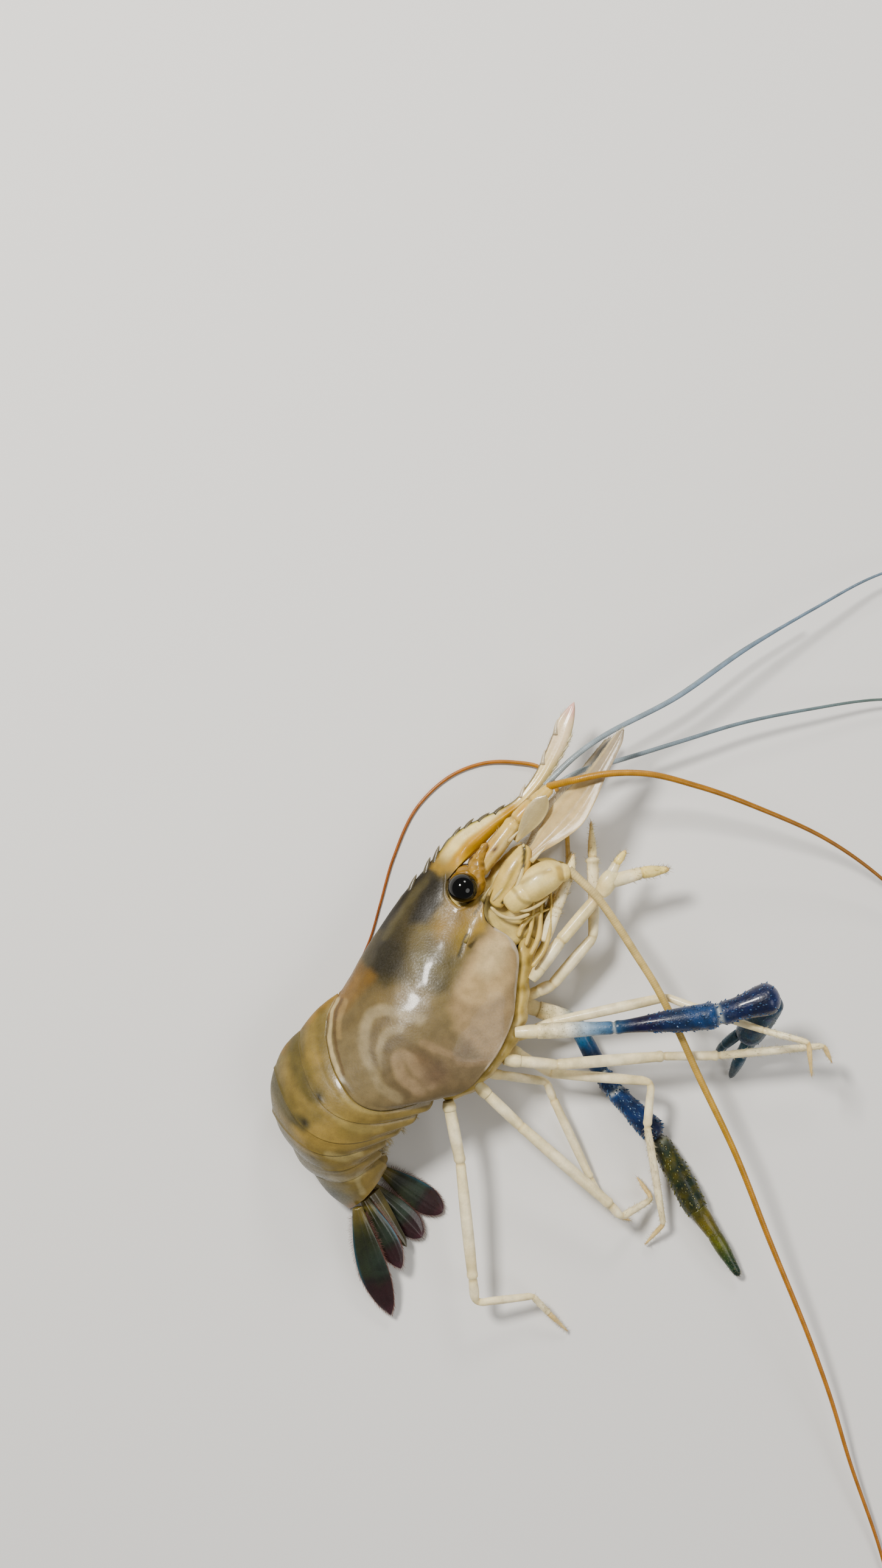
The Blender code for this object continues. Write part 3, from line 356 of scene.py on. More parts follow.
def bristles(roots, ways, length, thick, colour, seed, curl=0.25, spread=0.2, places=None):
    """Many fine hairs as one form, each a three-sided taper with its own patch on the skin's map."""
    rng = np.random.default_rng(seed)
    roots, ways = np.asarray(roots, float), unit(np.asarray(ways, float))
    count = len(roots)
    ways = unit(ways + rng.normal(0, spread, (count, 3)))
    long = length * rng.uniform(0.6, 1.1, count)
    droop = rng.normal(0, curl, (count, 3))
    share = np.linspace(0, 1, HAIR_ROWS)
    path = roots[:, None] + (ways * long[:, None])[:, None] * share[:, None]
    path = path + droop[:, None] * long[:, None, None] * (share**2)[:, None]
    path[..., 2] = np.maximum(path[..., 2], HAIR_FLOOR)
    across = unit(np.cross(ways, np.array([0.31, 0.52, 0.79])))
    other = np.cross(ways, across)
    radii = thick * (1 - share) ** 0.7 + 0.012
    turn = 2 * np.pi * np.arange(HAIR_SIDES) / HAIR_SIDES
    ring = np.cos(turn)[:, None] * across[:, None, :] + np.sin(turn)[:, None] * other[:, None, :]
    points = path[:, :, None] + radii[None, :, None, None] * ring[:, None]
    faces = []
    for i in range(count):
        base = i * HAIR_ROWS * HAIR_SIDES
        for k in range(HAIR_ROWS - 1):
            a = base + HAIR_SIDES * k
            b = a + HAIR_SIDES
            for j in range(HAIR_SIDES):
                n = (j + 1) % HAIR_SIDES
                faces.append([a + j, a + n, b + n, b + j])
        faces.append([base, base + 2, base + 1])
        end = base + HAIR_SIDES * (HAIR_ROWS - 1)
        faces.append([end, end + 1, end + 2])
    flat = points.reshape(-1, 3)
    shade = linear(colour) * rng.uniform(0.8, 1.15, (count, 1))
    if places is None:
        places = np.stack([np.linspace(0, 0.99, count), np.full(count, 0.5)], axis=-1)
    row, column = np.meshgrid(np.arange(HAIR_ROWS), np.arange(HAIR_SIDES), indexing="ij")
    within = 0.001 * np.stack([row, column], axis=-1)
    patches = (places[:, None, None] + within).reshape(-1, 2)
    return flat, faces, np.repeat(shade, HAIR_ROWS * HAIR_SIDES, axis=0), patches


LUMINANCE = np.array([0.2126, 0.7152, 0.0722])
FULLNESS = 1.26
CONTRAST = 1.1
BRIGHTNESS = 0.9


def rich(colours):
    """Deeper and fuller colours, as a wet shell has."""
    light = (colours @ LUMINANCE)[:, None]
    return np.clip(light + FULLNESS * (colours - light), 0.002, 1) ** CONTRAST * BRIGHTNESS


def piece(name, form, material, nodes=()):
    """A mesh in the row frame that rides on the body and stands for the named nodes."""
    points, faces, colours = form[:3]
    mesh = bpy.data.meshes.new(name)
    mesh.from_pydata(to_row(points).tolist(), [], faces)
    paint = mesh.attributes.new("paint", "FLOAT_COLOR", "POINT")
    flat = np.ones((len(points), 4), np.float32)
    flat[:, :3] = rich(colours)
    paint.data.foreach_set("color", flat.ravel())
    if len(form) > 3:
        corners = np.empty(len(mesh.loops), np.int32)
        mesh.loops.foreach_get("vertex_index", corners)
        layer = mesh.uv_layers.new(name="OFBake")
        layer.data.foreach_set("uv", form[3][corners].astype(np.float32).ravel())
    mesh.shade_smooth()
    mesh.materials.append(material)
    made = bpy.data.objects.new(name, mesh)
    bpy.context.scene.collection.objects.link(made)
    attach(made, "root")
    if nodes:
        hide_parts(*nodes)
    return made


# Materials.

LIGHT_DEPTH = 0.0012
RELIEF_DEPTH = 0.00012


def material(name, rough, coat=0.5, speckle=0.0, speckle_size=0.35, mottle=0.12, bump=0.3,
             bump_size=0.5, through_light=0.0, clear=0.0):
    """A wet skin: painted colour, mottling, tiny dark dots, fine relief and varied gloss."""
    made = bpy.data.materials.new(name)
    made.use_nodes = True
    tree = made.node_tree
    nodes, links = tree.nodes, tree.links
    shader = nodes["Principled BSDF"]
    paint = nodes.new("ShaderNodeAttribute")
    paint.attribute_name = "paint"
    place = nodes.new("ShaderNodeTexCoord")

    def pattern(kind, size):
        node = nodes.new(kind)
        node.inputs["Scale"].default_value = 1000.0 / size
        links.new(place.outputs["Object"], node.inputs["Vector"])
        return node

    def noise(size, detail=3.0):
        node = pattern("ShaderNodeTexNoise", size)
        node.inputs["Detail"].default_value = detail
        return node.outputs["Fac"]

    def ranged(source, low, high, out_low, out_high):
        node = nodes.new("ShaderNodeMapRange")
        for key, value in (("From Min", low), ("From Max", high), ("To Min", out_low), ("To Max", out_high)):
            node.inputs[key].default_value = value
        links.new(source, node.inputs["Value"])
        return node.outputs["Result"]

    def mixed(kind, amount, first, second):
        node = nodes.new("ShaderNodeMix")
        node.data_type = "RGBA"
        node.blend_type = kind
        for socket, value in (("Factor", amount), ("A", first), ("B", second)):
            target = next(s for s in node.inputs if s.name == socket and s.enabled)
            if isinstance(value, (tuple, float, int)):
                target.default_value = value
            else:
                links.new(value, target)
        return next(s for s in node.outputs if s.enabled)

    broad = noise(2.6)
    fine = noise(0.45)
    low, high = 1 - mottle, 1 + mottle
    colour = mixed("MULTIPLY", 1.0, paint.outputs["Color"],
                   mixed("MIX", ranged(broad, 0.35, 0.65, 0.0, 1.0), (low, low, 1 - 1.2 * mottle, 1),
                         (high, high, high, 1)))
    colour = mixed("MULTIPLY", ranged(fine, 0.4, 0.62, 0.0, 0.6 * mottle + 0.1), colour,
                   (0.72, 0.66, 0.58, 1))
    if speckle:
        dots = pattern("ShaderNodeTexVoronoi", speckle_size)
        dot = ranged(dots.outputs["Distance"], 0.16, 0.3, speckle, 0.0)
        colour = mixed("MULTIPLY", dot, colour, (0.32, 0.27, 0.24, 1))
    links.new(colour, shader.inputs["Base Color"])
    links.new(ranged(fine, 0.35, 0.7, 0.8 * rough, 1.35 * rough), shader.inputs["Roughness"])
    shader.inputs["Coat Weight"].default_value = coat
    shader.inputs["Coat Roughness"].default_value = 0.1
    shader.inputs["Specular IOR Level"].default_value = 0.3
    shader.inputs["IOR"].default_value = 1.5
    if through_light:
        shader.inputs["Subsurface Weight"].default_value = through_light
        shader.inputs["Subsurface Radius"].default_value = (1.0, 0.75, 0.5)
        shader.inputs["Subsurface Scale"].default_value = LIGHT_DEPTH
    if clear:
        shader.inputs["Transmission Weight"].default_value = clear
    relief = nodes.new("ShaderNodeBump")
    relief.inputs["Strength"].default_value = bump
    relief.inputs["Distance"].default_value = RELIEF_DEPTH
    links.new(noise(bump_size, 4.0), relief.inputs["Height"])
    links.new(relief.outputs["Normal"], shader.inputs["Normal"])
    return made


SHELL = material("shell", 0.38, coat=0.22, speckle=0.2, speckle_size=0.42, mottle=0.13, through_light=0.08)
BEAK = material("beak", 0.36, coat=0.28, speckle=0.1, mottle=0.1, through_light=0.12)
PALE_LIMB = material("pale_limb", 0.4, coat=0.2, mottle=0.14, through_light=0.2)
BLUE_LIMB = material("blue_limb", 0.36, coat=0.3, speckle=0.6, speckle_size=0.6, mottle=0.3, bump=1.0,
                     bump_size=0.5)
FEELER = material("feeler", 0.38, coat=0.25, mottle=0.15, bump=0.4, bump_size=0.3)
LEAF = material("leaf", 0.42, coat=0.12, mottle=0.1, through_light=0.3, clear=0.12)
TAIL_LEAF = material("tail_leaf", 0.34, coat=0.35, speckle=0.3, mottle=0.16, through_light=0.1)
EYE = material("eye_black", 0.05, coat=0.0, mottle=0.02, bump=0.02, bump_size=0.1)
HAIR = material("bristle", 0.5, coat=0.0, mottle=0.05, bump=0.0, through_light=0.2)


# The shell's cross-section, shared by the carapace and the abdomen.


def flank(t, edge):
    """Half width at a share t of the way down the flank, as a part of the widest."""
    upper = np.sin(0.5 * np.pi * np.clip(t, 0, 0.6) / 0.6) ** 0.75
    lower = 1 - (1 - edge) * (np.clip(t - 0.6, 0, None) / 0.4) ** 1.8
    return np.where(t < 0.6, upper, lower)


UNDER_POINTS = 36
UNDER_SHARE = 1.2


def shell_rings(place, wide, edge, raised, fine):
    """Closed rings at every row: the right flank, the hollow belly, the left flank.

    place gives the side view for shares t, wide is the half width of each row. The shares of the
    way down the flank are closer together over the back, and the belly has a share of its own.
    """
    t = np.linspace(0, 1, fine) ** 1.35
    side = wide[:, None] * flank(t, edge)[None, :]
    flank_view = place(t)
    turn = np.linspace(1, -1, UNDER_POINTS + 2)[1:-1]
    under_view = place(1 - raised * (1 - turn**2))
    under_side = wide[:, None] * edge * turn[None, :]
    view = np.concatenate([flank_view, under_view, flank_view[:, :0:-1]], axis=1)
    offset = np.concatenate([side, under_side, -side[:, :0:-1]], axis=1)
    shares = np.concatenate([t, np.full(UNDER_POINTS, UNDER_SHARE), t[:0:-1]])
    return view, offset, shares


def relief(rings, height):
    """Moves ring points along their normals by height, in millimetres."""
    down = np.gradient(rings, axis=0)
    round_ = 0.5 * (np.roll(rings, -1, axis=1) - np.roll(rings, 1, axis=1))
    normal = unit(np.cross(round_, down))
    centre = rings.mean(axis=1, keepdims=True)
    outward = np.sign((normal * (rings - centre)).sum(axis=-1).mean())
    return rings + outward * normal * height[..., None]


# Carapace.

BACK = smooth([(0, -14.7, 12.4), (0.12, -10, 12.7), (0.25, -5, 13.3), (0.5, 5, 13.6),
               (0.73, 14.4, 13.4), (0.87, 20, 12.8), (1, 25, 12.6)])
BELLY = smooth([(0, -20.0, -18.5), (0.08, -17.8, -21.4), (0.19, -14, -23.6), (0.36, -8, -24.4),
                (0.59, 0, -23.9), (0.76, 6, -22.2), (0.88, 10.4, -19.4), (1, 14.4, -17.1)])
REAR = smooth([(0, -14.7, 12.4), (0.026, -19.2, 11.6), (0.068, -22, 10.3), (0.171, -25.5, 7.1),
               (0.262, -27.6, 4.3), (0.382, -29.3, 0.6), (0.563, -30.8, -5), (0.725, -29.3, -10),
               (0.88, -25.0, -14.6), (1, -20.0, -18.5)])
FRONT = smooth([(0, 25, 12.6), (0.084, 24.4, 10.1), (0.151, 21.6, 8.1), (0.2, 19.4, 6.7),
                (0.292, 18.2, 4), (0.379, 19.0, 1.4), (0.419, 21.5, 0.2), (0.456, 25.0, -0.9),
                (0.5, 21.6, -2.3), (0.577, 19.5, -4.5), (0.695, 19.2, -8), (0.795, 19.3, -11),
                (0.883, 18.4, -13.6), (0.95, 16.8, -15.6), (1, 14.4, -17.1)])
CARAPACE_WIDTH = smooth([(0, 11.8), (0.15, 13.0), (0.35, 13.6), (0.55, 13.1), (0.75, 11.4),
                         (0.9, 9.6), (1, 8.4)])
FRONT_PLAIN = smooth([(0, 25), (0.084, 24.4), (0.151, 21.6), (0.2, 19.4), (0.292, 18.2), (0.379, 18.6),
                      (0.5, 19.1), (0.577, 19.3), (0.695, 19.2), (0.795, 19.3), (0.883, 18.4), (0.95, 16.8),
                      (1, 14.4)])
CARAPACE_EDGE = 0.72


def carapace_view(u, t):
    """Side-view places at shares u from rear to front and t from back to belly."""
    u, t = u[:, None, None], t[None, :, None]
    back, belly = BACK(u[:, 0, 0])[:, None], BELLY(u[:, 0, 0])[:, None]
    rear, front = REAR(t[0, :, 0])[None], FRONT(t[0, :, 0])[None]
    sides = (1 - t) * back + t * belly + (1 - u) * rear + u * front
    corners = (1 - t) * ((1 - u) * BACK(0) + u * BACK(1)) + t * ((1 - u) * BELLY(0) + u * BELLY(1))
    return sides - corners


# Lines of the shell's relief in the side view, each with its height and its width.

FOLDS = (
    ([(9.4, -4.2), (12, -3.4), (14.4, -3)], -0.06, 0.6),
    ([(10, -4.9), (13, -4), (15.6, -3.4)], 0.06, 0.9),
    ([(19.4, -6.6), (12, -5.6), (5, -6.2), (-1, -7.8), (-5, -9.5), (-8, -12)], -0.12, 2.0),
    ([(-1, 3), (-2.5, -1), (-2, -7)], -0.08, 2.2),
    ([(17, -3.6), (22, -1.9)], 0.04, 1.4),
)


def carapace_relief(view, outside):
    """Grooves and swellings of the shell, in millimetres."""
    seen = Painter(np.concatenate([view, 0 * view[..., :1]], axis=-1), "000000")
    height = (0.16 * wobble(view, 5.0) + 0.05 * wobble(view, 1.6, 3.0)) * outside
    for line, high, wide in FOLDS:
        height += high * hump(seen.distance(line), 0, wide)
    return height * outside


CARAPACE_SHADE = 0.66


def carapace_colours(points):
    p = Painter(points, "91825f")
    p.patch([(-31, 14), (-10, 15), (-6, 6), (-3, 0), (-3, -8), (-7, -26), (-31, -26)], 3.0, "8d7f63", 0.8)
    p.stroke([(-22, 10), (-15, 7.5), (-9, 7), (-5, 8)], 3.0, 3.0, "776848", 0.6)
    p.spot((-8, 0), (5, 5), "9c875c", 0.6)
    p.spot((-24, -6), (5, 6), "a39474", 0.5)
    p.patch([(22.1, 9.1), (27, 15), (-2.25, 15), (-7.2, 10.0), (-5.9, 5.1), (-2.6, 1.45), (-1.0, -2.3),
             (2.4, -6.2), (8.2, -5.3), (12.6, -4.8), (18.1, -4.0), (20.9, -0.4), (18.2, 4.0), (19.5, 7)],
            1.6, "786a3e", 0.92)
    p.patch([(24, 3), (20, -3), (14, -4.4), (9, -3), (8, 2), (12, 4.6), (19, 5.2)], 2.2, "a58746", 0.8)
    p.spot((12.5, -2), (4, 1.8), "a3904c", 0.5)
    p.patch([(25, 0), (21, -4), (17, -6), (15, -4), (19, -1)], 1.2, "c9aa62", 0.7)
    p.patch([(22, 9.5), (25, 14.5), (-2.5, 14.5), (-7.2, 10), (-5.9, 5.5), (-2, 4.8), (2, 6.2), (8, 7.6),
             (14, 7)], 3.6, "4b4430", 0.9)
    p.patch([(-7.4, 12), (-7.2, 9), (-5.4, 5.2), (-2.2, 2.4), (2.5, 4.8), (5, 8), (3, 13)], 4.0,
            "2c2a22", 0.72)
    p.patch([(2.5, 4.5), (-1.0, -2.3), (0.2, -5.5), (2.6, -6.1), (9, -5.0), (11, -2), (9, 4)], 2.2, "5a5230",
            0.6)
    p.spot((1.6, -4.6), (2.2, 1.7), "4a4428", 0.55)
    p.spot((4, 1), (1.5, 2.5), "77704a", 0.5)
    p.patch([(21.0, 7.9), (16, 5.6), (10.6, 5.8), (8.0, 9.0), (14.5, 11), (20.2, 11.2)], 1.3, "29261f", 0.88)
    p.stroke([(13.5, 5.0), (16.5, 4.6), (19.6, 5.8)], 0.6, 0.6, "a8956a", 0.4)
    p.stroke([(2, 11.4), (9, 12), (18, 11.6)], 0.6, 0.9, "6c6444", 0.4)
    p.stroke([(-19, 11.6), (-13, 12.5), (-7.5, 13.2)], 1.3, 2.6, "8f6a38", 0.6)
    p.stroke([(-16, 10.6), (-10, 10.4), (-7, 9.6)], 1.2, 2.4, "94733f", 0.6)
    p.stroke([(4, 14), (12, 14.1), (19, 13.6), (26, 13.2)], 1.2, 1.4, "28241f", 0.85)
    p.patch([(21, 12.4), (27, 13), (28, 7), (24.5, 7.5), (21.5, 9.8)], 0.9, "c9a862", 0.7)
    p.patch([(19.5, -6.7), (14, -6.2), (8, -6.8), (3, -7.6), (-1, -9), (-4, -13), (-6, -18), (-7, -25),
             (2, -25), (10, -20), (15, -17), (19.6, -12)], 1.6, "bda684", 0.9)
    p.patch([(19.2, -6.9), (14, -6.7), (8, -7.6), (3.5, -8.4), (1.5, -10), (3, -14), (8, -18), (14, -16.4),
             (19, -12)], 1.5, "dcc39a", 0.85)
    p.patch([(18.5, -8), (13, -7.8), (8.6, -9.2), (8.6, -12.6), (14, -13.6), (18.4, -11.6)], 1.6,
            "f6e0b8", 0.75)
    p.patch([(-26, -10), (-14, -9), (-7, -12), (-6, -24), (-14, -25), (-22, -18)], 2.6, "8f7e62", 0.8)
    pale, dim = "bcae90", "786a52"
    p.stroke([(-21.8, -1.4), (-18.5, 2.2), (-14, 3.9), (-10.9, 2.8), (-9.1, -0.6), (-7, -5.5)], 1.0, 1.4,
             pale, 0.75)
    p.stroke([(-21, -3.6), (-18, 0), (-14.2, 1.4), (-11.6, 0.4)], 0.7, 1.1, dim, 0.55)
    p.stroke([(-20.6, -5), (-17.6, -1.8), (-14, -1.2), (-11.4, -3.2)], 0.8, 1.0, pale, 0.6)
    p.stroke([(-22.6, -13), (-22.2, -8), (-18.6, -4.4), (-14.6, -3.9), (-13.3, -8), (-12.8, -14)], 1.2, 1.2,
             dim, 0.7)
    p.stroke([(-20, -14.6), (-19.6, -9.4), (-17, -6.4), (-15.6, -8), (-16.9, -12.4), (-17.6, -16)], 1.4, 1.4,
             "b5a084", 0.75)
    p.stroke([(-24.5, -12), (-24.4, -7), (-22.6, -3)], 0.9, 1.2, pale, 0.45)
    p.stroke([(-11, -9), (-9.7, -15), (-9.4, -19), (-6, -23.6)], 0.7, 1.0, "b39d80", 0.65)
    p.spot((-15, -15.5), (2.7, 3.2), "7c6753", 0.75, 15)
    p.spot((-14, -11), (1.8, 2.6), "846f58", 0.6)
    p.spot((-6.4, -17.6), (2.4, 1.9), "857158", 0.6)
    p.stroke([(-15.6, 11.9), (-20.2, 10.6), (-23.6, 8.1), (-26.4, 5), (-28.6, 1.4)], 0.55, 0.35,
             "d8c7a0", 0.9)
    p.stroke([(-15, 11), (-19.4, 9.7), (-22.6, 7.3), (-25.4, 4.3), (-27.6, 1)], 0.35, 0.35, "6e5a3d", 0.7)
    p.stroke([(-14.6, 10.2), (-18.8, 8.9), (-21.8, 6.6)], 0.4, 0.7, "bfa77c", 0.5)
    # A painted highlight: a near-white glint at the lower end of the pale rear rim.
    p.spot((-29.0, 0.8), (0.55, 0.8), "f4ecd8", 1.0)
    p.stroke([(19, -1.6), (23, -1.0), (25.4, -0.9)], 0.3, 0.5, "4c4426", 0.7)
    p.stroke([(9.4, -4.2), (12.3, -3.4), (14, -3)], 0.4, 0.35, "4a4326", 0.85)
    p.stroke([(24, -1.4), (21.4, -2.7), (19.8, -4.7), (19.3, -7)], 0.5, 0.3, "17150f", 0.95)
    p.stroke([(19.2, -7.4), (19.2, -11), (18.2, -13.7), (16.6, -15.7), (14.2, -17.3), (10.2, -19.6),
              (5.8, -22.4), (0, -24.1), (-8, -24.6)], 0.5, 0.45, "e6dac6", 0.8)
    p.stroke([(8, -20.6), (2, -23), (-6, -23.9)], 0.5, 0.8, "c7b394", 0.5)
    return CARAPACE_SHADE * p.colour


# The front lip turns in. Each ring has its size and its depth behind the lip.

LIP = ((0.965, 0.15), (0.93, 0.45), (0.88, 0.9), (0.84, 2.2), (0.8, None))
LIP_LEVEL = -2
LIP_END = 12.4

# Teeth, each with its base, tip and radius, and those at the sides with their bend.

BACK_TEETH = (((13.6, 12.7), (18.2, 14.1), 0.9), ((19.2, 12.2), (23.2, 13.9), 0.95),
              ((9.6, 12.9), (12.6, 13.9), 0.7), ((22.4, 12.0), (26.6, 13.8), 0.95))
SIDE_TEETH = (((22.2, -1.3, 8.6), (26.4, -0.9, 8.9), 0.55, (0, 0.3, 0)),
              ((12.6, -3.5, 11.9), (15.6, -3.0, 12.5), 0.45, (0, 0, 0.3)))


def carapace():
    u = np.concatenate([np.linspace(0, 0.9, 170), np.linspace(0.906, 1, 26)])
    wide = CARAPACE_WIDTH(u) * (0.985 + 0.015 * ease(0, 0.05, u))
    view, side, share = shell_rings(lambda t: carapace_view(u, t), wide, CARAPACE_EDGE, 0.05, 170)
    outside = (share <= 1)[None, :] * ease(0, 0.015, u)[:, None]
    level = np.clip(share, 0, 1)
    beyond = (FRONT(level)[:, 0] - FRONT_PLAIN(level)) / (FRONT_PLAIN(level) - REAR(level)[:, 0])
    true_u = u[:, None] * (1 + beyond[None, :])
    true_wide = CARAPACE_WIDTH(np.clip(true_u, 0, 1).ravel()).reshape(true_u.shape)
    side = side * (true_wide - 12 * np.clip(true_u - 1, 0, 1)) / CARAPACE_WIDTH(u)[:, None]
    rings = np.concatenate([view, (MIDDLE + side)[..., None]], axis=-1)
    rings = relief(rings, carapace_relief(view, outside))
    rim = 0.08 * hump(u, 0.985, 0.012) + 0.14 * hump(u, 0.012, 0.012)
    rings = relief(rings, rim[:, None] * (share <= 1)[None, :])
    rings[..., 1] += 0.5 * hump(side, 0, 1.0) * ease(0.3, 0.7, u)[:, None] * (share <= 1)
    lip = rings[-1]
    inner = []
    for scale, depth in LIP:
        ring = lip.copy()
        ring[:, 0] = LIP_END if depth is None else lip[:, 0] - depth
        ring[:, 1] = LIP_LEVEL + (lip[:, 1] - LIP_LEVEL) * scale
        ring[:, 2] = MIDDLE + (lip[:, 2] - MIDDLE) * scale
        inner.append(ring)
    rings = np.concatenate([rings, np.array(inner)])
    colours = carapace_colours(rings)
    # The turned-in rings of the lip are painted dark brown: painted shade inside the front opening.
    colours[1 - len(LIP):] = linear("5b4a33")
    forms = [ring_form(above_floor(rings), colours)]
    for base, tip, thick in BACK_TEETH:
        forms.append(cone((*base, MIDDLE), (*tip, MIDDLE), thick, "4a4538", (0.6, 0.8, 0), 12, 9, "77705f"))
    for sign in (1, -1):
        for base, tip, thick, bend in SIDE_TEETH:
            ends = [(s, d, MIDDLE + sign * out) for s, d, out in (base, tip)]
            bend = (*bend[:2], sign * bend[2])
            forms.append(cone(*ends, thick, "7d7048", bend, 10, 7, "b5a77c"))
    piece("carapace_shell", merged(forms), SHELL, ["carapace"])


# Abdomen.

JOINTS = (
    ((-14.7, 12.4), (-20.0, -18.5), 0.0, 11.5, 13.2),
    ((-27.0, 14.7), (-25.2, -17.9), 9.6, 12.0, 12.2),
    ((-36.7, 14.6), (-30.0, -16.6), 8.8, 11.8, 11.6),
    ((-45.3, 9.4), (-34.4, -15.4), 5.8, 11.0, 10.8),
    ((-50.2, 0.2), (-38.0, -15.6), 3.8, 9.7, 9.5),
    ((-52.7, -8.0), (-40.2, -17.2), 2.0, 8.1, 7.9),
    ((-54.8, -19.2), (-41.8, -20.4), 0.6, 6.3, 6.1),
)
SOMITE_EDGE = 0.66
SOMITE_END = 1.09
ABDOMEN_SHADE = 0.7


def joint_view(i, t, shift):
    """A boundary's side-view places, shifted along its normal."""
    def raw(t):
        if i == 0:
            return REAR(t)
        back, belly, bulge, _, _ = JOINTS[i]
        back, belly = np.array(back), np.array(belly)
        chord = belly - back
        normal = np.array((chord[1], -chord[0])) / np.linalg.norm(chord)
        return back + t[:, None] * chord + 4 * (t * (1 - t))[:, None] * bulge * normal

    tangent = unit(raw(np.minimum(t + 0.01, 1)) - raw(np.maximum(t - 0.01, 0)))
    return raw(t) + shift * np.stack([tangent[:, 1], -tangent[:, 0]], axis=-1)


def somite_view(i, v, t):
    """Side-view places between a somite's front, v = 0, and its rear, v = 1."""
    front = joint_view(i, t, GAP if i == 0 else 0.0)[None]
    rear = joint_view(i + 1, t, 0.0)[None]
    v = v[:, None, None]
    here = (1 - v) * front + v * rear
    centre = 0.5 * (np.array(JOINTS[i][0]) + np.array(JOINTS[i][1]))
    swell = np.sin(np.pi * np.clip(v[..., 0], 0, 1))
    puff = 0.8 * swell * (1 - t) ** 2 + 1.1 * swell * t**5
    return here + unit(here - centre) * puff[..., None]


def abdomen_colours(points):
    p = Painter(points, "998759")
    p.patch([(-60, 12), (-48, 6), (-46, -6), (-50, -24), (-62, -24)], 4.0, "7a7048", 0.8)
    p.over(0.35 * np.clip(wobble(points, 3.4, 1.0), 0, 1), "bfa468")
    p.over(0.35 * np.clip(wobble(points, 2.1, 4.0), 0, 1), "746a40")
    p.stroke([(-27, 15.4), (-36.5, 15.2), (-45, 10), (-50.5, 0), (-54, -10), (-56, -19)], 1.4, 2.2,
             "6c6440", 0.6)
    p.stroke([(-15, 13), (-27, 15.4), (-33, 15.6)], 0.6, 1.4, "a07c42", 0.5)
    p.stroke([(-29, 14.6), (-33.6, 10), (-35.6, 5.4), (-35.2, 3)], 1.2, 2.4, "5f5838", 0.75)
    p.stroke([(-38.6, 14.2), (-42, 9), (-42.9, 5), (-42.4, 1.6)], 1.0, 2.0, "565238", 0.8)
    p.stroke([(-20.5, 12.6), (-24.6, 9.6), (-29.6, 4)], 0.9, 1.8, "6f643e", 0.5)
    p.stroke([(-48.6, 6), (-49.6, 0), (-48.6, -6)], 0.8, 2.0, "615d42", 0.6)
    p.stroke([(-53, -6), (-53.4, -12), (-52.6, -17)], 1.0, 2.0, "5c5c46", 0.7)
    p.stroke([(-31.8, -2), (-31.4, -6), (-29.4, -10)], 0.6, 1.2, "b8a878", 0.6)
    p.stroke([(-36.4, -3), (-35.6, -9), (-33, -12.6)], 0.5, 1.2, "b5a574", 0.5)
    p.stroke([(-44.6, -6.6), (-43, -10.6), (-40.6, -12.6)], 0.8, 1.0, "c0b286", 0.65)
    p.stroke([(-49.4, -11), (-47, -15), (-44.6, -16)], 0.5, 1.0, "bfb184", 0.5)
    p.spot((-35.1, 2.4), (0.5, 1.0), "2e2918", 0.95, -25)
    p.spot((-42.0, 1.9), (0.7, 0.9), "332d1c", 0.9, -25)
    p.spot((-47.6, -4.6), (0.45, 0.7), "453d28", 0.6)
    p.spot((-54.3, -14.6), (1.2, 2.0), "26363a", 0.85, -20)
    p.spot((-54.4, -19.6), (1.5, 1.1), "b07a30", 0.8)
    p.stroke([(-48.6, -19), (-46.6, -16.4), (-45.2, -15.4)], 0.5, 0.8, "cdc29c", 0.45)
    p.patch([(-20, -16.6), (-30, -14.6), (-40, -14.2), (-42, -24), (-20, -24)], 1.6, "ac9a6a", 0.55)
    return ABDOMEN_SHADE * p.colour


def somite_shell(i):
    last = i == 5
    v = np.linspace(0.0, 1.0 if last else SOMITE_END, 52)
    scale = smooth([(0, 0.975), (0.12, 0.99), (0.45, 1.0), (1.0, 1.0 if last else 1.004),
                    (SOMITE_END, 1.006)])(v)
    wide = ((1 - v) * JOINTS[i][3] + v * JOINTS[i + 1][3]) * scale
    level = (1 - v) * JOINTS[i][4] + v * JOINTS[i + 1][4]
    view, side, share = shell_rings(lambda t: somite_view(i, v, t), wide, SOMITE_EDGE, 0.1, 110)
    rings = np.concatenate([view, (level[:, None] + side)[..., None]], axis=-1)
    outside = (share <= 1)[None, :]
    height = 0.06 * wobble(rings, 4.0, i) * outside
    height = height - 0.03 * hump(v, 0.32, 0.08)[:, None] * (1 - ease(0.5, 0.8, share))[None, :] * outside
    hinge = hump(share, 0.385, 0.03)[None, :] * hump(v, 1.0, 0.12)[:, None]
    height = height + 0.08 * hinge * outside
    rings = relief(rings, height)
    colours = abdomen_colours(rings)
    high = (1 - ease(0.15, 0.5, share))[None, :] * outside
    band = (hump(v, 0.86, 0.12)[:, None] * high * (0.75 + 0.25 * wobble(rings, 2.0)))[..., None]
    colours = colours * (1 - 0.25 * band) + linear("4a4226") * 0.25 * band
    margin = (hump(v, 1.08, 0.03)[:, None] * outside)[..., None]
    colours = colours * (1 - 0.3 * margin) + linear("6f5f30") * 0.3 * margin
    return ring_form(above_floor(rings), colours), view


def paddle_colours(share, across, points):
    return np.broadcast_to(linear("c9bb95"), points.shape)


PADDLE_LENGTH = 3.2
PADDLE_WIDTHS = [(0, 0.9), (0.5, 1.3), (1, 0.4)]


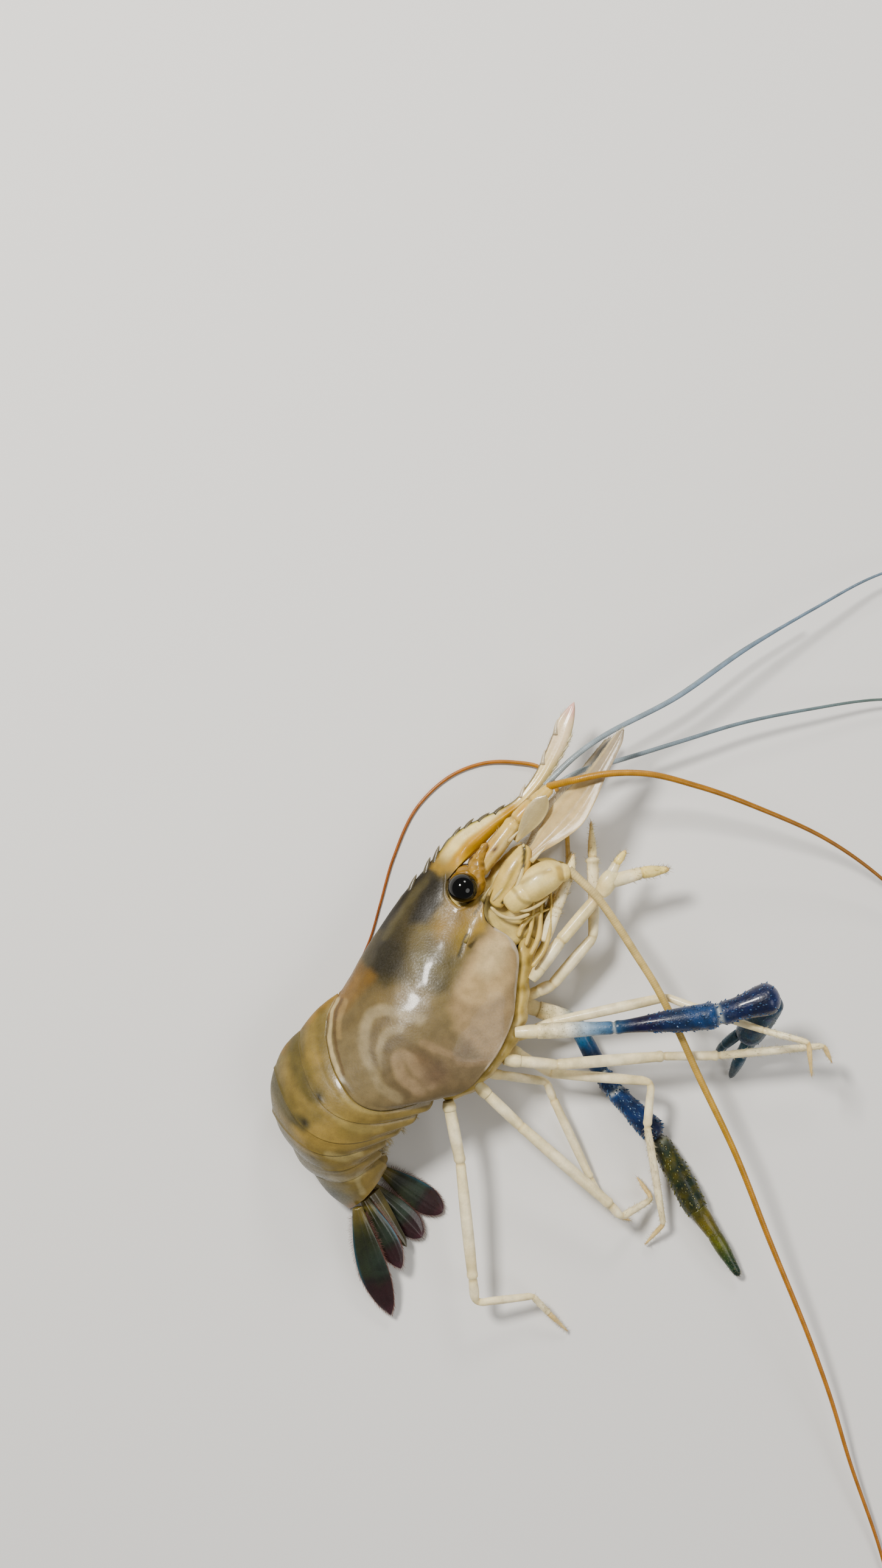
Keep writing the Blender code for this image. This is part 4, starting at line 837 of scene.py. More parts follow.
def pleopods(i, view):
    """A pair of small paddles under a somite, fringed with hairs."""
    belly = view[:, view.shape[1] // 2]
    under = belly[24]
    way = belly[-1] - belly[0]
    heading = math.degrees(math.atan2(way[1], way[0])) + 90
    forms, roots, ways = [], [], []
    for sign in (1, -1):
        base = np.array((*under, JOINTS[i][4] + 2.0 * sign)) - direction(heading, 0) * 0.6
        base[:2] -= 0.12 * way
        leaf, rim = leaf_form(base, PADDLE_LENGTH, heading, 0, PADDLE_WIDTHS, 0.7, 90, 0.0,
                              paddle_colours)
        forms.append(leaf)
        roots.append(rim[::2])
        ways.append(np.broadcast_to(direction(heading, 0), rim[::2].shape))
    hairs = bristles(np.concatenate(roots), np.concatenate(ways), 1.3, 0.05, "cfc4a6", 60 + i)
    return forms, hairs


def abdomen():
    for i in range(6):
        shell, view = somite_shell(i)
        forms = [shell]
        if i < 5:
            leaves, hairs = pleopods(i, view)
            forms += leaves
            piece(f"pleopod_hairs_{i + 1}", hairs, HAIR)
        piece(f"abdomen_shell_{i + 1}", merged(forms), SHELL, [f"abdomen_{i + 1}"])


# Leaves: antennal scales, telson and uropods.


LEAF_ROWS = 90
LEAF_TURNS = 64


def leaf_form(base, length, heading, rise, widths, thickness, tilt, bow, colours, ridges=0.0):
    """A flat leaf with a rounded rim and faint ribs, and the points of its rim."""
    way = direction(heading, rise)
    across = unit(np.cross(np.array([0.0, 0.0, 1.0]), way))
    normal = np.cross(way, across)
    turn = math.radians(tilt)
    wide = math.cos(turn) * across + math.sin(turn) * normal
    thin = np.cross(way, wide)
    share = np.linspace(0, 1, LEAF_ROWS)
    half = smooth(widths)(share)
    half = half * np.sqrt(np.clip(1 - ((share - 0.93) / 0.075).clip(0, 1) ** 2, 0.0, 1) + 0.02)
    centre = np.array(base, float) + way * length * share[:, None]
    centre = centre + across * bow * np.sin(np.pi * share)[:, None]
    thick = 0.5 * thickness * (1 - 0.45 * share)
    turn = 2 * np.pi * np.arange(LEAF_TURNS) / LEAF_TURNS
    a = np.cos(turn)
    b = np.sign(np.sin(turn)) * np.abs(np.sin(turn)) ** 0.75
    body = (1 - 0.55 * np.abs(a) ** 3)
    rib = ridges * (hump(a, 0.0, 0.07) + 0.7 * hump(a, 0.52, 0.06) + 0.5 * hump(a, -0.4, 0.06))
    lift = thick[:, None] * (b * body)[None, :]
    lift = lift + np.sign(b)[None, :] * rib[None, :] * (1 - share)[:, None] ** 0.4
    rings = centre[:, None] + wide * (half[:, None] * a[None, :])[..., None] + thin * lift[..., None]
    shades = colours(share[:, None] + 0 * a[None, :], a[None, :] + 0 * share[:, None], rings)
    rings = above_floor(rings)
    rim = np.concatenate([rings[6:, 0], rings[6:, LEAF_TURNS // 2][::-1]])
    return ring_form(rings, shades), rim


def leaf_piece(name, node, look, leaf, colours, ridges, fringe, hair, seed, one_side=False):
    """A leaf, and a fringe of hairs of that length round its rim or along its upper side."""
    form, rim = leaf_form(*leaf, colours, ridges)
    piece(name, form, look, [node])
    edge = rim[:len(rim) // 2] if one_side else rim
    fine, _ = through(edge, np.zeros(len(edge)), 0.16)
    base, length, heading, rise = leaf[:4]
    way = direction(heading, rise)
    middle = np.array(base, float) + way * length * 0.45
    ways = unit(unit(fine - middle) + 0.9 * way)
    piece(name + "_fringe", bristles(fine, ways, fringe, 0.035, hair, seed, 0.12, 0.1), HAIR)


SCALE_WIDTHS = [(0, 1.4), (0.12, 1.6), (0.25, 3.2), (0.4, 4.4), (0.56, 3.5), (0.7, 2.3), (0.85, 1.7),
                (0.95, 1.2), (1, 0.5)]


def antenna_scales():
    def cream(share, across, points):
        p = Painter(points, "d6c094")
        p.over(ease(0.5, 0.75, share), "ab9f8a")
        p.over(0.6 * hump(across, 0.85, 0.14), "e6d6b0")
        p.over(0.5 * np.clip(wobble(points, 2.2), 0, 1), "ab9870")
        p.over(0.4 * hump(across, -0.1, 0.12), "c2ab84")
        p.over(0.5 * ease(0.9, 1.0, share), "8f8a82")
        return p.colour

    # Painted shade: the left scale is a dimmed, cooler copy of the right scale's cream, as it lies in
    # shadow.
    def shaded_scale_colours(share, across, points):
        p = Painter(points, "a3967c")
        p.over(ease(0.45, 0.8, share), "8e8b84")
        p.over(0.5 * hump(across, 0.85, 0.2), "c9bda2")
        return p.colour

    right = (34.2, -3.7, MIDDLE + 6.0), 38.4, -1.2, 0, SCALE_WIDTHS, 1.1, -30, -1.6
    left = (33.8, -3.7, MIDDLE - 7.2), 36.5, -0.6, 0, SCALE_WIDTHS, 1.1, 34, -0.6
    # The left scale's colours and its duller fringe colour are painted shade.
    for side, leaf, colours, hair, seed in (("right", right, cream, "ddd0b2", 11),
                                            ("left", left, shaded_scale_colours, "b9ad94", 12)):
        leaf_piece(f"scale_{side}", f"antenna_scale_{side}", LEAF, leaf, colours, 0.12, 1.4,
                   hair, seed, one_side=True)


TELSON = ((-49.4, -21.0, 6.2), 15.4, -109, -8,
          [(0, 2.9), (0.2, 2.6), (0.7, 1.5), (0.92, 0.9), (1, 0.4)], 2.4, 0, 0)

# Tail blades: the leaf, the side with the blue edge, its ribs, the fringe's length and colour.

UROPODS = (
    ("right_outer", ((-52.65, -20.2, 10.2), 28.9, -128.2, -15.5,
                     [(0, 1.2), (0.15, 2.0), (0.4, 3.1), (0.7, 3.2), (0.9, 1.8), (1, 0.5)], 1.3, 8, -0.8),
     -1, 0.2, 1.2, "6b4a45"),
    ("right_inner", ((-50.6, -20.6, 8.3), 19.0, -117, -10,
                     [(0, 1.1), (0.2, 1.8), (0.5, 2.7), (0.8, 2.3), (1, 0.6)], 1.2, 6, 0),
     1, 0.16, 1.2, "6b4a45"),
    ("left_outer", ((-43.5, -20.8, 2.4), 17.2, -90, -5,
                    [(0, 1.2), (0.2, 2.0), (0.5, 3.0), (0.8, 2.9), (1, 1.2)], 1.2, -6, 0),
     1, 0.16, 1.1, "5f4440"),
    ("left_inner", ((-47.8, -20.8, 3.6), 17.0, -101, -7,
                    [(0, 1.1), (0.2, 1.9), (0.5, 2.9), (0.8, 2.8), (1, 1.2)], 1.2, 0, 0),
     -1, 0.16, 1.1, "5f4440"),
)


def tail_fan():
    def leaf_colours(blue_edge):
        def colours(share, across, points):
            p = Painter(points, "4b4a2a")
            p.over(0.9 * ease(0.1, 0.3, share), "262c1e")
            middle = 0.45 * ease(0.3, 0.5, share) * (1 - ease(0.6, 0.75, share))
            p.over(middle * (0.5 + 0.5 * across), "2f4040")
            p.over(0.6 * np.clip(wobble(points, 1.1), 0, 1), "1c211c")
            p.over(0.95 * ease(0.58, 0.74, share + 0.03 * wobble(points, 1.5)), "2c181c")
            p.over(0.5 * hump(share, 0.66, 0.03), "161413")
            p.over(0.5 * ease(0.86, 1.0, share), "50303a")
            p.over(0.55 * hump(across * blue_edge, 1.0, 0.12) * (1 - ease(0.55, 0.8, share)), "2c6076")
            p.over(0.45 * hump(across, 0.05, 0.08) * (1 - ease(0.6, 0.8, share)), "22261f")
            p.over(0.5 * (1 - ease(0.02, 0.2, share)), "7a6a42")
            return p.colour
        return colours

    def telson_colours(share, across, points):
        p = Painter(points, "5c5536")
        p.over(0.85 * ease(0.2, 0.7, share), "2a2a20")
        p.over(0.35 * hump(across, 0, 0.25), "6a6244")
        p.spot((-52.9, -29.4), (0.8, 0.55), "1f1a14", 0.9)
        return p.colour

    plate, _ = leaf_form(*TELSON, telson_colours, 0.15)
    piece("telson_plate", plate, TAIL_LEAF, ["telson"])
    for seed, (name, leaf, blue_edge, ribs, fringe, hair) in enumerate(UROPODS, 21):
        leaf_piece(f"uropod_plate_{name}", f"uropod_{name}", TAIL_LEAF, leaf,
                   leaf_colours(blue_edge), ribs, fringe, hair, seed)


# Rostrum.

ROSTRUM_TOP = smooth([(15, 13.0), (20, 13.0), (25.3, 13.0), (29.3, 12.9), (34, 11.4), (37.7, 9.5), (42, 7.2),
                      (45.2, 5.9), (49, 5.6), (52.7, 5.7), (57.3, 6.5), (62, 7.6), (66, 8.7), (71.5, 8.3)])
ROSTRUM_BOTTOM = smooth([(15, 7.8), (20, 7.4), (25.3, 7.0), (29, 6.3), (34, 5.5), (38.7, 4.9), (43.3, 4.0),
                         (49, 2.9), (52.7, 2.6), (57.3, 2.8), (62, 3.4), (66, 4.6), (69.5, 6.4),
                         (71.5, 7.8)])
ROSTRUM_HALF = smooth([(15, 4.0), (25.3, 4.0), (29, 2.7), (34, 1.8), (38, 1.4), (45, 1.15), (55, 1.0),
                       (66, 0.8), (71.5, 0.4)])
ROSTRUM_ENDS = (15, 71.5)
ROSTRUM_BACK_TEETH = ((29.9, 13.5), (33.6, 12.9), (36.8, 11.6), (40.0, 9.4), (43.6, 7.6),
                      (50.2, 6.7), (59.4, 7.7), (66.6, 9.5))
ROSTRUM_BELLY_TEETH = (46.5, 49.5, 52.5, 55.3, 58.0, 60.6, 63.1, 65.4)
ROSTRUM_PROFILE = ((1.0, 0.0), (0.9, 0.38), (0.62, 0.62), (0.34, 1.0), (0.1, 0.55), (0.0, 0.0),
                   (0.1, -0.55), (0.34, -1.0), (0.62, -0.62), (0.9, -0.38))


def rostrum_colours(points):
    p = Painter(points, "c2a465")
    s, d = points[..., 0], points[..., 1]
    top = ROSTRUM_TOP(s)
    p.over(ease(40, 49, s), "ead5a0")
    p.over(0.8 * ease(54, 62, s), "ead8bc")
    p.stroke([(22, 10.6), (27, 11), (32, 10.6), (36, 8.9), (40, 6.9)], 1.4, 1.3, "f2e0a8", 0.9)
    p.stroke([(22, 9.2), (28, 8.6), (33, 7.6), (38, 6.2), (43, 5.4)], 0.9, 1.3, "b8903a", 0.8)
    p.stroke([(22, 7.4), (29, 6.6), (35, 5.6), (40, 5)], 1.0, 1.0, "c7a54c", 0.7)
    edge = 1 - ease(0.15, 0.9, top - d)
    p.over(0.7 * edge * (1 - ease(40, 48, s)), "8f8a3c")
    p.over(0.85 * (1 - ease(0.05, 0.45, top - d)) * (1 - ease(60, 68, s)), "2d2a24")
    p.over(0.8 * ease(66, 70.5, s), "d9a8a4")
    p.over(0.4 * (1 - ease(0.1, 0.6, d - ROSTRUM_BOTTOM(s))) * ease(45, 55, s), "9aa27c")
    root = (1 - ease(22.5, 28, s + 0.3 * wobble(points, 2.0)))[..., None]
    return p.colour * (1 - root) + carapace_colours(points) * root


def rostrum():
    s = np.linspace(*ROSTRUM_ENDS, 300)
    up, out = closed_loop(ROSTRUM_PROFILE + ROSTRUM_PROFILE[:1], 56)
    top, bottom = ROSTRUM_TOP(s)[:, None], ROSTRUM_BOTTOM(s)[:, None]
    close = np.sqrt(np.clip(1 - ((s - 70.2) / 1.31).clip(0, 1) ** 2, 0.0004, 1))[:, None]
    middle = 0.5 * (top + bottom)
    d = middle + (bottom + (top - bottom) * up - middle) * close
    blade = ROSTRUM_HALF(s)[:, None] * out * close
    below = (top - bottom) * (1 - up)
    hug = smooth([(15, 0.95), (19, 1.15), (22, 1.3), (26, 1.32)])(s)[:, None]
    root = np.sign(out) * hug * below**0.75 * np.clip(up / 0.08, 0, 1)
    rooted = 1 - ease(24.5, 31, s)[:, None]
    z = MIDDLE + rooted * root + (1 - rooted) * blade
    rings = loft(s, d, z)
    forms = [ring_form(rings, rostrum_colours(rings))]
    roots, ways = [], []
    for s, d in ROSTRUM_BACK_TEETH:
        base = (s - 3.8, ROSTRUM_TOP(s - 3.8) - 0.8, MIDDLE)
        forms.append(cone(base, (s - 0.5, d - 0.6, MIDDLE), 0.7, "57503c" if s < 45 else "b3a68e",
                          (0.3, 0.7, 0), 12, 9, "6f6756" if s < 45 else "d6ccb8"))
        for share in np.linspace(0.1, 0.95, 7):
            place = s + 2.4 * share
            roots.append((place, ROSTRUM_TOP(place) - 0.05, MIDDLE))
            ways.append((0.8, 0.9, 0))
    for s in ROSTRUM_BELLY_TEETH:
        base = (s - 2.4, ROSTRUM_BOTTOM(s - 2.4) + 0.6, MIDDLE)
        forms.append(cone(base, (s, ROSTRUM_BOTTOM(s) - 0.3, MIDDLE), 0.55, "d9ceac", (0.2, -0.5, 0), 12, 8,
                          "e6dcc2"))
        for share in np.linspace(0.0, 1.0, 9):
            place = s - 2.4 + 2.4 * share
            for side in (-0.25, 0.25):
                roots.append((place, ROSTRUM_BOTTOM(place) + 0.1, MIDDLE + side))
                ways.append((1.4, -0.6, side))
    piece("rostrum_blade", merged(forms), BEAK, ["rostrum"])
    piece("rostrum_hairs", bristles(roots, ways, 1.0, 0.035, "c9bea0", 5, 0.15, 0.12), HAIR)


# Limbs. Each article is (length, heading, rise, first radius, last radius).

LEGS = {
    "leg_5_right": ((-20.6, -23.4, 17.2), [
        (13.0, -133, -8, 1.9, 1.75), (28.0, -138, -8.3, 1.6, 1.65), (6.2, -138, -13, 1.45, 1.6),
        (13.9, -51, -14.2, 1.25, 1.15), (6.6, -104.7, -23.2, 1.05, 0.95), (7.4, -101, -22, 0.85, 0.3)]),
    "leg_4_right": ((-12.9, -28.2, 16.9), [
        (10.9, -98.4, -7.4, 1.8, 1.7), (29.2, -96.3, -10.8, 1.7, 1.6), (4.1, -104.7, -14.3, 1.35, 1.4),
        (10.6, -33.6, -37, 1.2, 1.0), (6.2, 71.7, -8, 0.8, 0.3)]),
    "leg_3_right": ((-2.6, -29.8, 16.6), [
        (8.8, -60.4, -8, 1.8, 1.7), (24.9, -50, -3.4, 1.75, 1.6), (12.7, -53.7, -2.3, 1.35, 1.45),
        (24.4, -48.9, -1.2, 1.2, 1.0), (5.3, -115.5, -22, 0.8, 0.3)]),
    "leg_5_left": ((-8.6, -29.2, 7.4), [
        (11.1, -63, -6.5, 1.5, 1.4), (4.6, -122.6, -9, 1.3, 1.3), (21.2, -119, -7.3, 1.35, 1.25),
        (5.8, -116.3, -8, 1.1, 1.1), (6.1, -97.7, -4, 0.95, 0.85), (2.8, -75.7, -3, 0.7, 0.3)]),
    "leg_4_left": ((-1.8, -29.6, 8.6), [
        (8.6, -86.6, 6, 1.5, 1.4), (23.5, -57.6, 6.1, 1.5, 1.5), (10.8, -148.4, -8.5, 1.25, 1.35),
        (25.0, -133.7, -13.0, 1.1, 0.95), (7.8, -179.3, -27, 0.8, 0.3)]),
    "leg_3_left": ((4.9, -29.3, 9.6), [
        (4.4, -29.5, 11, 1.6, 1.5), (27.1, -40.6, 8.0, 1.5, 1.5), (8.1, -73, 20.2, 1.25, 1.35),
        (15.2, -71, 17.1, 1.15, 1.05), (10.4, -67.6, 18.5, 1.0, 0.9), (8.4, -136.4, -14.4, 0.8, 0.3)]),
}
LEG_1_RIGHT = ((17.6, -21.3, 16.2), [(7.6, -1, -1, 1.7, 1.6), (13.7, -4.5, -2, 1.6, 1.55)])
LEG_1_LEFT = ((12.6, -24.6, 10.6), [
    (3.6, -29, 4, 1.6, 1.6), (14.4, -4.7, 1, 1.5, 1.4), (7.6, 33.8, 0, 1.35, 1.45),
    (11.0, 37.9, -2, 1.5, 1.5), (8.4, 37.9, -4, 1.15, 0.35)])
MAXILLIPED = ((22.6, -18.3, 16.8), [
    (8.5, 14, 1, 1.5, 1.35), (8.0, 15, 0, 1.25, 1.1), (5.0, 24, -5, 1.0, 0.4)])
CLAW_ARM_RIGHT = ((5.7, -28.9, 20.0), [
    (17.2, -50.5, 6.5, 1.9, 1.55), (23.6, -46.4, 4.9, 1.6, 3.0), (14.5, -35.5, 2.4, 2.75, 3.85)])
CLAW_ARM_LEFT = ((9.0, -27.6, 6.6), [
    (8.9, -72, -4, 2.2, 2.1), (13.6, -116.5, -6.5, 2.1, 2.2), (5.4, -109.9, 0, 2.1, 2.4),
    (15.4, -100.3, -1, 2.4, 3.1)])


def corner_cut(before, after, radius, length):
    """How far from a corner an article's straight part ends."""
    bend = math.acos(float(np.clip(np.dot(before, after), -1, 1)))
    return min(1.25 * radius * math.tan(bend / 2) + 0.12 * radius, 0.4 * length)


def stations(root, articles):
    """Coarse places and radii along articles, and the corners between them."""
    corners = [np.array(root, float)]
    ways = []
    for length, heading, rise, _, _ in articles:
        ways.append(direction(heading, rise))
        corners.append(corners[-1] + length * ways[-1])
    places, radii = [], []
    for i, (length, _, _, first, last) in enumerate(articles):
        way, cut_start, cut_end = ways[i], 0.0, 0.0
        if i > 0:
            cut_start = corner_cut(ways[i - 1], way, first, length)
        if i < len(articles) - 1:
            cut_end = corner_cut(way, ways[i + 1], last, length)
        begin, finish = corners[i] + way * cut_start, corners[i + 1] - way * cut_end
        free = length - cut_start - cut_end
        if i > 0:
            places.append(0.25 * places[-1] + 0.5 * corners[i] + 0.25 * begin)
            radii.append(0.9 * min(articles[i - 1][4], first))
        swell = min(0.25 * free, 1.3 * first)
        places += [begin, begin + way * swell, finish - way * min(0.15 * free, last), finish]
        radii += [0.95 * first, first, last, 0.95 * last]
    return places, radii, corners


def limb_form(root, articles, colours, sides=28, knob=0.015, spacing=0.2, tip=0.0, flat=1.0, tail=0.0,
              slim=1.0):
    """A limb as one skin, and its path, the article that each point is in, and its radii.

    colours gives shades from the number of the article, the share of the way along it and the
    waist. Each joint has a waist of soft skin and a raised collar before it.
    """
    places, radii, corners = stations(root, articles)
    path, thick = through(places, radii, spacing)
    thick = slim * thick[:, 0]
    along = lengths(path)
    nearest = [along[np.argmin(np.linalg.norm(path - corner, axis=1))] for corner in corners[1:-1]]
    marks = [0.0] + nearest + [along[-1]]
    waist = np.zeros(len(path))
    for mark, article in zip(marks[1:-1], articles[1:]):
        size = article[3]
        thick = thick * (1 - 2 * knob * hump(along, mark + 0.1 * size, 0.2 * size))
        thick = thick * (1 + knob * hump(along, mark - 0.9 * size, 0.8 * size))
        thick = thick * (1 + 0.6 * knob * hump(along, mark + 0.6 * size, 0.5 * size))
        waist = np.maximum(waist, hump(along, mark + 0.1 * size, 0.2 * size))
    thick = rounded_ends(along, thick, tail, tip if tip else 1.2 * thick[-1])
    number = np.clip(np.searchsorted(marks, along, side="right") - 1, 0, len(articles) - 1)
    marks = np.array(marks)
    share = (along - marks[number]) / (marks[number + 1] - marks[number])
    rings = tube_rings(path, thick, sides, flat)
    shades = colours(number, share, waist, rings)
    return ring_form(rings, shades), path, number, thick


def leg_colours(tip="e3c78c", warm="dcc99a"):
    def colours(number, share, waist, rings):
        p = Painter(rings, "f7ebc6")
        last = number.max()
        n, x = number[:, None], share[:, None]

        def round_it(mask):
            return np.broadcast_to(mask, rings.shape[:2])

        p.over(0.3 * wobble(rings, 2.2) + 0.05, warm)
        p.over(0.35 * hump(round_it(x), 0.5, 0.3), "fffaea")
        p.over(round_it(0.75 * (n == last)), tip)
        p.over(round_it(0.5 * ease(0.75, 1.0, x) * (n == last)), "b9876a")
        p.over(round_it(0.4 * waist[:, None]), "b9a06a")
        p.over(0.35 * hump(x, 0.9, 0.12) * (n < last) * (0.5 + 0.5 * wobble(rings, 1.4)), "b5ab8c")
        return p.colour
    return colours


def limb_hairs(path, thick, chosen, seed, length, colour="d9cfb2", density=3.0, spread=0.35):
    """Short bristles round the chosen points of a limb, or round those beyond a number."""
    rng = np.random.default_rng(seed)
    keep = np.flatnonzero(np.arange(len(path)) > chosen if isinstance(chosen, int) else chosen)
    count = int(density * len(keep))
    index = rng.choice(keep, count)
    way, side, other = frames(path)
    turn = rng.uniform(0, 2 * np.pi, count)
    out = np.cos(turn)[:, None] * side[index] + np.sin(turn)[:, None] * other[index]
    roots = path[index] + 0.93 * thick[index, None] * out
    places = np.stack([index / len(path), 0.98 * turn / (2 * np.pi)], axis=-1)
    return bristles(roots, out + 1.1 * way[index], length, 0.032, colour, seed, 0.2, spread, places)


LEG_SLIM = 0.73
SMALL_CLAW_SLIM = 0.88


def walking_legs():
    for seed, (name, leg) in enumerate(LEGS.items(), 31):
        form, path, number, thick = limb_form(*leg, leg_colours(), tip=1.6, slim=LEG_SLIM)
        piece(name + "_limb", form, PALE_LIMB, [name + "_upper", name + "_lower"])
        hairs = limb_hairs(path, thick, number >= number.max() - 1, seed, 0.8)
        piece(name + "_hairs", hairs, HAIR)


# Small claws and mouth limbs.


def small_claws():
    cream = leg_colours("f0e0b0", "dfcb98")
    yellow = leg_colours("f2de92", "e2c878")
    arm, *_ = limb_form(*LEG_1_RIGHT, cream, tip=1.2, slim=SMALL_CLAW_SLIM)
    piece("leg_1_right_limb", arm, PALE_LIMB, ["leg_1_right_arm"])
    _, _, corners = stations(*LEG_1_RIGHT)
    start = corners[-1] + direction(-2, 0) * 0.8 * GAP
    spots = [start - direction(0, 0) * 0.6, start + direction(0, 0) * 1.4, start + direction(2, 1) * 4.6,
             start + direction(-6, 0) * 6.6]
    rings, *_ = strand(spots, [1.2, 1.9, 2.05, 1.5], 0.25, 1.0, 1.6, 28, 0.8)
    forms, hairs = [dappled(rings, "f2e4ba", 0.4, 1.6, "d2bc86")], []
    for root, articles, tip, hair in (
        (start + direction(6, 0) * 3.6, [(4.6, 9, 0, 1.3, 1.05), (3.6, 0, 0, 0.95, 0.6)], 1.2,
         (18, 42, 0.9, "97875a", 2, 0.5)),
        (start + direction(-6, 0) * 4.0, [(7.2, -38, -2, 1.6, 1.45), (6.6, -47, -8, 1.4, 0.8)], 1.6,
         (22, 41, 1.1, "97875a", 3, 0.5)),
    ):
        finger, path, _, thick = limb_form(root, articles, yellow, tip=tip)
        forms.append(finger)
        hairs.insert(0, limb_hairs(path, thick, *hair))
    piece("leg_1_right_claw", merged(forms), PALE_LIMB, ["leg_1_right_hand"])
    piece("leg_1_right_hairs", merged(hairs), HAIR)
    form, path, number, thick = limb_form(*LEG_1_LEFT, cream, tip=1.6, slim=SMALL_CLAW_SLIM)
    piece("leg_1_left_limb", form, PALE_LIMB, ["leg_1_left_arm", "leg_1_left_hand"])
    hairs = limb_hairs(path, thick, number >= 3, 43, 1.0, "d8cba0", 3, 0.4)
    piece("leg_1_left_hairs", hairs, HAIR)
    for side, sign in (("right", 1), ("left", -1)):
        root, articles = MAXILLIPED
        if sign < 0:
            root = (root[0] - 0.05, root[1] + 0.1, 2 * MIDDLE - root[2])
            articles = [(a[0], a[1], -a[2], a[3], a[4]) for a in articles]
        form, path, _, thick = limb_form(root, articles, cream, tip=1.0, tail=0.8)
        piece(f"maxilliped_{side}_limb", form, PALE_LIMB, [f"maxilliped_{side}"])
        hairs = limb_hairs(path, thick, 20, 45 + sign, 0.9, "b8a878", 2.0, 0.35)
        piece(f"maxilliped_{side}_hairs", hairs, HAIR)


# Great claws.


def blue_arm(stops, cuff=0.5):
    """Shades along an arm: stops are (article plus share, colour)."""
    keys = shaded(stops)

    def colours(number, share, waist, rings):
        shade = keys(number + share)[:, None, :] * (1 + 0.22 * wobble(rings, 1.8))[..., None]
        shade = shade + (linear("d8dcd8") - shade) * (cuff * waist)[:, None, None]
        return np.broadcast_to(shade, rings.shape)
    return colours


SPINE_LEAN = 0.9


def spines(path, thick, count, size, seed, colour, tip, skip=0.0, end=1.0):
    """Small forward spines scattered in rows over an arm."""
    rng = np.random.default_rng(seed)
    way, side, other = frames(path)
    forms = []
    for k in range(count):
        at = int((skip + (end - skip) * (k + rng.uniform(0, 0.8)) / count) * (len(path) - 1))
        turn = 2 * np.pi * (k % 6) / 6 + rng.normal(0, 0.25)
        out = math.cos(turn) * side[at] + math.sin(turn) * other[at]
        root = path[at] + 0.95 * thick[at] * out
        big = size * rng.uniform(0.6, 1.25)
        point = root + unit(out + SPINE_LEAN * way[at]) * big * 1.5
        point[2] = max(point[2], 0.15)
        forms.append(cone(root, point, 0.6 * big, colour, sides=6, rows=4, tip_colour=tip))
    return forms


def claw_palm(places, radii, base, dots, head=2.0):
    rings, path, thick = strand(places, radii, 0.28, 1.2, head, 36)
    return dappled(rings, base, 0.6, 0.75, dots, 0.25), path, thick


def claw_arm(side, arm, stops, sides, tip, slim, thorns):
    form, path, _, thick = limb_form(*arm, blue_arm(stops), sides, 0.05, tip=tip, slim=slim)
    forms = [form] + spines(path, thick, *thorns)
    piece(f"claw_{side}_arm_shell", merged(forms), BLUE_LIMB, [f"claw_{side}_arm"])


def claw_hand(side, palm, thorns, fingers, stops, flat, hair, palm_hair=None):
    """A palm with its fixed finger, the moving finger, and their hairs.

    fingers are the fixed and the moving one, each (root, articles, sides, tip).
    """
    form, path, thick = palm
    colours = blue_arm(stops, 0.0)
    made = [limb_form(root, articles, colours, sides, 0.0, tip=tip, flat=flat)
            for root, articles, sides, tip in fingers]
    (fixed, *_), (moving, *_) = made
    hand = merged([form] + spines(path, thick, *thorns) + [fixed])
    piece(f"claw_{side}_hand_shell", hand, BLUE_LIMB, [f"claw_{side}_hand"])
    piece(f"claw_{side}_finger_shell", moving, BLUE_LIMB, [f"claw_{side}_finger"])
    seed, length, code, density = hair
    hairs = [limb_hairs(way, size, 6, seed + i, length, code, density, 0.4)
             for i, (_, way, _, size) in enumerate(made)]
    if palm_hair:
        hairs.append(limb_hairs(path, thick, *palm_hair))
    piece(f"claw_{side}_hairs", merged(hairs), HAIR)


# Right palm: its root and way, and (place along it, radius). Left palm: (length, heading, radius).

RIGHT_PALM_ROOT = np.array((40.6, -68.6, 17.9))
RIGHT_PALM_WAY = direction(-170, -45.3)
RIGHT_PALM = ((-3.6, 2.4), (-1.0, 2.95), (1.5, 3.1), (6.5, 3.35), (11.0, 3.1), (12.8, 2.4))
LEFT_PALM_HEIGHT = 3.3
LEFT_PALM = ((1.2, -124, 2.3), (2.4, -118, 2.6), (8.0, -114.3, 2.95), (6.6, -117.4, 2.65), (1.9, -120, 2.1))


def right_claw():
    claw_arm("right", CLAW_ARM_RIGHT,
             [(0.0, "efe2bd"), (0.3, "ddd5bc"), (0.65, "93a4b4"), (1.0, "34526f"), (1.12, "13304e"),
              (1.6, "0f2a4c"), (1.95, "13365c"), (2.15, "10264c"), (2.6, "0c1a3c"), (3.0, "102452")],
             36, 3.0, 0.95, (300, 0.4, 51, "0e2142", "4c6a90", 0.45, 0.98))
    palm = claw_palm([RIGHT_PALM_ROOT + RIGHT_PALM_WAY * far for far, _ in RIGHT_PALM],
                     [radius for _, radius in RIGHT_PALM], "1c4660", "12305a")
    fingers = (
        (RIGHT_PALM_ROOT + RIGHT_PALM_WAY * 9.2 + np.array((-0.3, -0.9, 0)),
         [(7.4, -165, -38, 1.7, 1.5), (8.7, -160, -42, 1.4, 0.8)], 24, 2.0),
        (RIGHT_PALM_ROOT + RIGHT_PALM_WAY * 12.4 + np.array((-0.2, 2.1, 0.9)),
         [(5.2, 174, -40, 1.3, 1.2), (4.4, 186, -50, 1.1, 0.75)], 22, 1.5),
    )
    claw_hand("right", palm, (90, 0.28, 52, "1c3c55", "6d8c9a"), fingers,
              [(0, "1c4a60"), (1, "1b4c64"), (2, "14303f")], 1.0, (53, 0.4, "4c6468", 2))


